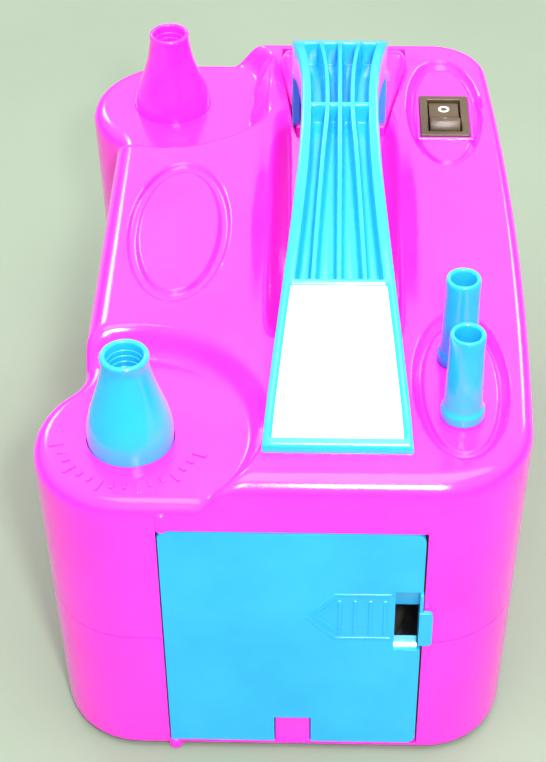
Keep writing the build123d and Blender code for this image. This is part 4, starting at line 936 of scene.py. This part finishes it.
make_piece("rocker_key", *loft(rocker_sections()), "black_plastic", "rocker", ["rocker_button"], sharp=30.0)
mark_sections = []
for a in np.linspace(0, 2 * math.pi, 40, False):
    section = []
    for reach, lift in ((1.75, 0.07), (1.05, 0.07), (1.05, -0.25), (1.75, -0.25)):
        y = 4.3 + reach * math.sin(a)
        section.append(on_rocker(reach * math.cos(a), y, rocker_rise(y) + lift))
    mark_sections.append(section)
bar = [on_rocker(x, y, rocker_rise(y) + z)
       for x in (-0.35, 0.35) for y in (-6.0, -3.6) for z in (-0.2, 0.07)]
make_piece("rocker_marks", *joined(closed_ring(mark_sections), (bar, BOX_FACES)), "black_plastic", "rocker",
           paint=WHITE_MARK)


# ================ cord door and latch
def rounded_corner(x, y, radius, start, count=8):
    """Quarter circle about a point, from a start angle in degrees."""
    turns = [math.radians(start + 90 * k / count) for k in range(count + 1)]
    return [(x + radius * math.cos(a), y + radius * math.sin(a)) for a in turns]


def front_plate(loops, y_front, y_back):
    """Plate in the plane of the front wall, from (x, z) loops."""
    vertices, faces = slab(loops, -y_back, -y_front)
    return [(x, -depth, z) for x, z, depth in vertices], faces


left, right, bottom, top = DOOR
hole_left, hole_low, hole_high = FINGER_HOLE
notch_left, notch_right, notch_top = NOTCH
corner = 2.6
door_loop = [(left, bottom), (notch_left, bottom), (notch_left, notch_top), (notch_right, notch_top)]
door_loop += [(notch_right, bottom)] + rounded_corner(right - corner, bottom + corner, corner, -90)
door_loop += [(right, hole_low), (hole_left, hole_low), (hole_left, hole_high), (right, hole_high)]
door_loop += rounded_corner(right - corner, top - corner, corner, 0)
door_loop += [(left + 2.2, top), (left, top - 1.6)]
door_mesh = front_plate([door_loop], DOOR_FRONT, DOOR_BACK)
bevel(make_piece("door_plate", *door_mesh, "cyan_plastic", "door", ["cord_door"]), 0.45, 3)
hood = [(-105.6, 67.2), (-105.0, 67.2), (-102.4, 58.6), (-103.0, 58.6)]
parts = [loft([[(x, y, z) for y, z in hood] for x in (28.0, right - 0.3)])]
for x in (15.4, 19.4, 23.5, 27.4):
    parts.append(front_plate([rectangle(x, 56.7, 0.5, 6.7)], -106.55, -106.0))
arrow = [(8.4, 57.0), (14.6, 50.4), (15.4, 51.2), (9.8, 57.0), (15.4, 62.8), (14.6, 63.6)]
parts.append(front_plate([arrow], -106.55, -106.0))
frame_arrow = [(5.6, 57.0), (13.9, 48.0), (29.0, 48.0), (29.0, 49.0), (14.4, 49.0), (7.0, 57.0),
               (14.4, 65.0), (29.0, 65.0), (29.0, 66.0), (13.9, 66.0)]
parts.append(front_plate([frame_arrow], -106.45, -106.0))
bevel(make_piece("door_relief", *joined(*parts), "cyan_plastic", "door"), 0.2, 2)
sill_section = [(-106.2, 43.2), (-102.6, 43.2), (-102.6, 45.8), (-103.4, 45.4), (-105.9, 44.0)]
sill = loft([[(x, y, z) for y, z in sill_section] for x in (hole_left - 0.4, right - 0.9)])
make_piece("door_sill", *sill, "cyan_plastic", "door", sharp=50.0)
lower_pin = [(0.02, bottom - 1.9), (1.1, bottom - 1.9), (1.2, bottom - 1.7), (1.2, bottom + 1),
             (0.02, bottom + 1)]
upper_pin = [(0.02, top - 1), (1.2, top - 1), (1.2, top + 2.9), (1.0, top + 3.2), (0.02, top + 3.2)]
pins = joined(lathe(lower_pin, *HINGE, 24), lathe(upper_pin, *HINGE, 24))
make_piece("door_pins", *pins, "cyan_plastic", "door")

latch_lug = [(36.4, 47.4), (38.7, 47.4)] + rounded_corner(38.7, 48.7, 1.3, -90)
latch_lug += rounded_corner(38.7, 58.7, 1.3, 0) + [(36.4, 60.0)]
latch_parts = [box_mesh(36.4, 37.4, -107.2, -102.6, 47.4, 61.2),
               box_mesh(36.4, 37.4, -107.2, -105.2, 61.0, 66.5),
               box_mesh(36.4, 39.4, -103.2, -101.6, 47.4, 55.0)]
bevel(make_piece("latch_arm", *joined(*latch_parts), "cyan_plastic", "latch", ["door_latch"]), 0.25, 2)
bevel(make_piece("latch_lug", *front_plate([latch_lug], -107.7, -106.4), "cyan_plastic", "latch"), 0.35, 3)


def boss(z0, z1):
    """Half-round boss round a door pin, domed at its free end."""
    profile = [(1.3, z0), (1.9, z0), (1.9, z1 - 1.2), (1.5, z1 - 0.4), (0.9, z1), (0.02, z1),
               (0.02, z1 - 1), (1.3, z1 - 1)]
    return lathe(profile, *HINGE, 32)


bosses = joined(boss(top + 0.4, top + 6.2), boss(FOOT_LIFT - 0.9, bottom - 0.5))
make_piece("hinge_bosses", *bosses, "pink_shell", sharp=40.0)
notch_tab = [(notch_left + 0.2, bottom - 1.4), (notch_right - 0.2, bottom - 1.4),
             (notch_right - 0.2, notch_top - 0.2), (notch_left + 0.2, notch_top - 0.2)]
bevel(make_piece("notch_tab", *front_plate([notch_tab], -105.6, -103.4), "pink_shell"), 0.3, 2)

# screw posts and the ring wall round the motor, inside the lower shell
post_profile = [(1.6, 38.0), (3.2, 38.0), (3.2, 2.0), (4.6, 2.0), (4.6, PARTING_Z), (1.6, PARTING_Z)]
posts = [lathe(turned_round(post_profile, 0.2), x, y, 32) for x, y in POSTS]
seat = lathe([(38.6, 3.6), (40.6, 3.6), (40.6, 11.0), (38.6, 11.0)], *MOTOR, 96)
make_piece("base_posts", *joined(*posts, seat), "pink_shell")


# ================ mains cord, plug, gland and tie
CORD_RADIUS = 2.5
COIL_CENTRE = (4.0, 38.5)
COIL_START = (-25.5, -66.0, 36.0)
LEAD_ROUTE = [(17.6, -66.0, 78.0), (0.9, -66.0, 78.0), (-15.9, -66.0, 68.4), (-25.5, -66.0, 51.6)]
TAIL_ROUTE = [(33.5, -85.9, 64.3), (26.5, -88.9, 76.3), (14.5, -91.3, 83.3), (0.5, -93.2, 83.3),
              (-11.5, -94.3, 76.3), (-18.5, -94.5, 64.3), (-18.5, -94.5, 50.2)]
RING_RADII = [29.5, 24.0, 24.0, 29.5, 29.5, 24.0, 24.0, 29.5]
RING_DISCS = [-66.0, -66.0, -71.5, -71.5, -77.0, -77.0, -82.5, -82.5]
TURN_STEP = 22.5
CHANGE_EVERY = 292.5
CHANGE_LENGTH = 67.5
COIL_POINTS = 103

# the curve runs a little inside its control points, which this makes up for
POLYGON_GROWTH = 1.0196


def stepped(values, turned):
    """Value of the coil at an angle: constant on each ring, with a soft change between rings."""
    value = values[0]
    for k in range(1, len(values)):
        t = (turned - CHANGE_EVERY * k) / CHANGE_LENGTH + 0.5
        value += (values[k] - values[k - 1]) * float(ease(t))
    return value


def coil_points():
    """Control points of the wound cord, six and a half turns on four discs."""
    points = []
    for k in range(1, COIL_POINTS + 1):
        turned = TURN_STEP * k
        reach = stepped(RING_RADII, turned) * POLYGON_GROWTH
        a = math.radians(180 + turned)
        x, z = COIL_CENTRE[0] + reach * math.cos(a), COIL_CENTRE[1] + reach * math.sin(a)
        points.append((x, stepped(RING_DISCS, turned), z))
    return points


def cord_curve(name, points, radius, replaced):
    """Free cord as a smooth NURBS curve with a round section."""
    data = bpy.data.curves.new(name, "CURVE")
    data.dimensions = "3D"
    data.bevel_depth = radius * MM
    data.bevel_resolution = 6
    data.resolution_u = 10
    data.use_fill_caps = True
    line = data.splines.new("NURBS")
    line.points.add(len(points) - 1)
    for point, place in zip(line.points, points):
        point.co = (*(c * MM for c in place), 1.0)
    line.order_u = 3
    line.use_endpoint_u = True
    data.materials.append(MATERIALS["cord_pvc"])
    made = in_scene(name, data)
    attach(made, "housing")
    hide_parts(*replaced)
    return made


def along_x(mesh, x, y, z):
    """Turned mesh laid along X through a point, from one made upright at the origin."""
    vertices, faces = mesh
    return [(x + up, y + across, z + deep) for across, deep, up in vertices], faces


def rounded_rectangle(half_x, half_y, radius):
    """Loop of a rectangle with round corners about the origin."""
    loop = []
    for a, b, start in ((1, 1, 0), (-1, 1, 90), (-1, -1, 180), (1, -1, 270)):
        loop += rounded_corner(a * (half_x - radius), b * (half_y - radius), radius, start, 6)
    return loop


cord = cord_curve("mains_cord", [*LEAD_ROUTE, COIL_START, *coil_points(), *TAIL_ROUTE], CORD_RADIUS,
                  ["power_cord_lead", "power_cord_coil", "power_cord_tail"])


def ribs(count, start, pitch, growth, offsets):
    """Profile points of the ribs of a strain relief, each a little thicker than the one before."""
    rows = []
    for k in range(count):
        crest, groove, place = 3.3 + growth * k, 2.9 + growth * k, start + pitch * k
        rows += [(crest, place), (crest, place + offsets[0]), (groove, place + offsets[1])]
        rows.append((groove, place + offsets[2]))
    return rows


# the plug's body, with grip ridges on its flat faces, and its ribbed strain relief
PLUG_FORM = ((21.2, 8.2, 5.2), (21.6, 8.8, 5.8), (24.0, 9.0, 6.0), (29.0, 8.9, 5.9), (31.0, 8.4, 5.3),
             (32.4, 8.9, 5.8), (33.8, 8.4, 5.3), (35.2, 8.9, 5.8), (36.6, 8.4, 5.3), (38.0, 8.6, 5.6),
             (40.2, 7.6, 5.4), (41.3, 6.2, 5.0), (41.7, 4.8, 4.4))
plug_sections = []
for z, half_x, half_y in PLUG_FORM:
    plug_sections.append([(PLUG[0] + x, PLUG[1] + y, z) for x, y in rounded_rectangle(half_x, half_y, 3.4)])
relief = [(0.02, 50.2), (3.1, 50.2), *ribs(4, 49.2, -2.1, 0.36, (-1.1, -1.4, -1.9))]
relief += [(4.7, 41.0), (0.02, 41.0)]
plug = make_piece("plug_body", *joined(loft(plug_sections), lathe(relief, *PLUG, 40)), "cord_pvc",
                  replaced=["power_plug"], sharp=45.0)

gland_profile = [(2.52, 43.2), (2.52, 17.6), (3.1, 17.6), *ribs(6, 18.6, 2.7, 0.12, (1.3, 1.6, 2.3))]
gland_profile += [(3.9, 35.4), (4.25, 35.6), (4.25, 39.2), (6.0, 39.2), (6.0, 41.0), (4.2, 43.2)]
gland_mesh = along_x(lathe(gland_profile, 0, 0, 48), 0, GLAND[1], GLAND[2])
gland = make_piece("gland_bush", *gland_mesh, "cord_pvc", replaced=["cord_gland"], sharp=45.0)

tie_loops = [rounded_rectangle(6.5, 11.9, 2.0), rounded_rectangle(5.8, 11.2, 1.6)]
tie_vertices, tie_faces = slab(tie_loops, -2.5, 2.5)
tie_turn = Matrix.Rotation(-math.radians(70.0), 3, "Y")
tie_place = Vector((COIL_CENTRE[0], -74.3, COIL_CENTRE[1]))
tie_vertices = [tie_turn @ Vector((26.75 + u, v, w)) + tie_place for u, v, w in tie_vertices]
tie = make_piece("coil_tie", tie_vertices, tie_faces, "natural_nylon", replaced=["cord_tie"])
bevel(tie, 0.25, 2)


# ================ raised marks round the near nozzle
def raised_mark(angle, inner, outer, width):
    """Low moulded bar that points at the near nozzle."""
    a = math.radians(angle)
    out, side = np.array([math.cos(a), math.sin(a)]), np.array([-math.sin(a), math.cos(a)])
    bar = rectangle((inner + outer) / 2, 0, (outer - inner) / 2, width / 2)
    corners = [out * along + side * across for along, across in bar]
    return slab([[(LOBE_X + x, -LOBE_Y + y) for x, y in corners]], LOBE_Z - 0.3, LOBE_Z + 0.45)


marks = [raised_mark(angle, 17.6, 21.6 if index % 3 == 0 else 19.8, 1.0)
         for index, angle in enumerate(range(-170, -19, 10))]
bevel(make_piece("raised_marks", *joined(*marks), "pink_shell"), 0.22, 2)


# ================ camera, lights and floor
camera_data = bpy.data.cameras.new("camera")
camera_data.lens = 87.98
camera_data.sensor_width = 36.0
camera_data.clip_start = 0.01
camera = in_scene("camera", camera_data)
pitch, yaw, roll = (math.radians(a) for a in (41.237, -2.163, -0.788))
ahead = Vector((math.sin(yaw) * math.cos(pitch), math.cos(yaw) * math.cos(pitch), -math.sin(pitch)))
right = Vector((math.cos(yaw), -math.sin(yaw), 0))
up = right.cross(ahead)
right_rolled = math.cos(roll) * right + math.sin(roll) * up
up_rolled = -math.sin(roll) * right + math.cos(roll) * up
place = Matrix((right_rolled, up_rolled, -ahead)).transposed().to_4x4()
place.translation = Vector((0.01104, -0.43676, 0.42987))
camera.matrix_world = place
bpy.context.scene.camera = camera


AIM = (0.0, 0.0, 0.08)
FLASH = (0.075, -0.46, 0.50)


def area_light(name, position, size, power, mirrored=False):
    """Square lamp aimed at the object; a mirrored one shows in reflections."""
    data = bpy.data.lights.new(name, "AREA")
    data.size = size
    data.energy = power
    lamp = in_scene(name, data)
    lamp.location = position
    lamp.rotation_euler = (Vector(AIM) - Vector(position)).to_track_quat("-Z", "Y").to_euler()
    lamp.visible_glossy = mirrored
    return lamp


area_light("flash", FLASH, 0.05, 3.4, True)
halo = area_light("flash_halo", FLASH, 0.17, 3.0, True)
halo.visible_diffuse = False
area_light("soft_top", (0.10, -0.12, 1.05), 0.7, 7.0, True)
area_light("soft_rear", (0.1, 1.3, 1.2), 1.5, 3.0)
area_light("soft_left", (-0.8, -0.5, 0.7), 0.8, 0.4)
area_light("rear_left", (-0.62, 1.0, 0.78), 0.3, 3.5, True)
area_light("rear_right", (0.70, 1.0, 0.78), 0.3, 3.5, True)
world = bpy.data.worlds.new("world")
world.use_nodes = True
sky = world.node_tree
sky.nodes["Background"].inputs["Color"].default_value = (0.95, 0.96, 0.94, 1)
direction = node(sky, "ShaderNodeTexCoord")
split = node(sky, "ShaderNodeSeparateXYZ")
limits = {"From Min": -0.05, "From Max": 0.75, "To Min": 0.12, "To Max": 1.75}
brightness = node(sky, "ShaderNodeMapRange", interpolation_type="SMOOTHSTEP", **limits)
sky.links.new(direction.outputs["Generated"], split.inputs["Vector"])
sky.links.new(split.outputs["Z"], brightness.inputs["Value"])
sky.links.new(brightness.outputs["Result"], sky.nodes["Background"].inputs["Strength"])
bpy.context.scene.world = world
bpy.context.scene.view_settings.view_transform = "Standard"

floor_mesh = bpy.data.meshes.new("floor")
floor_mesh.from_pydata([(-9, -9, 0), (9, -9, 0), (9, 9, 0), (-9, 9, 0)], [], [(0, 1, 2, 3)])
floor_paint = material("floor_paint", (0.20, 0.255, 0.185), (0.225, 0.28, 0.21), 0.6, grain=6.0, relief=0.1)
floor_mesh.materials.append(floor_paint)
floor = in_scene("floor", floor_mesh)
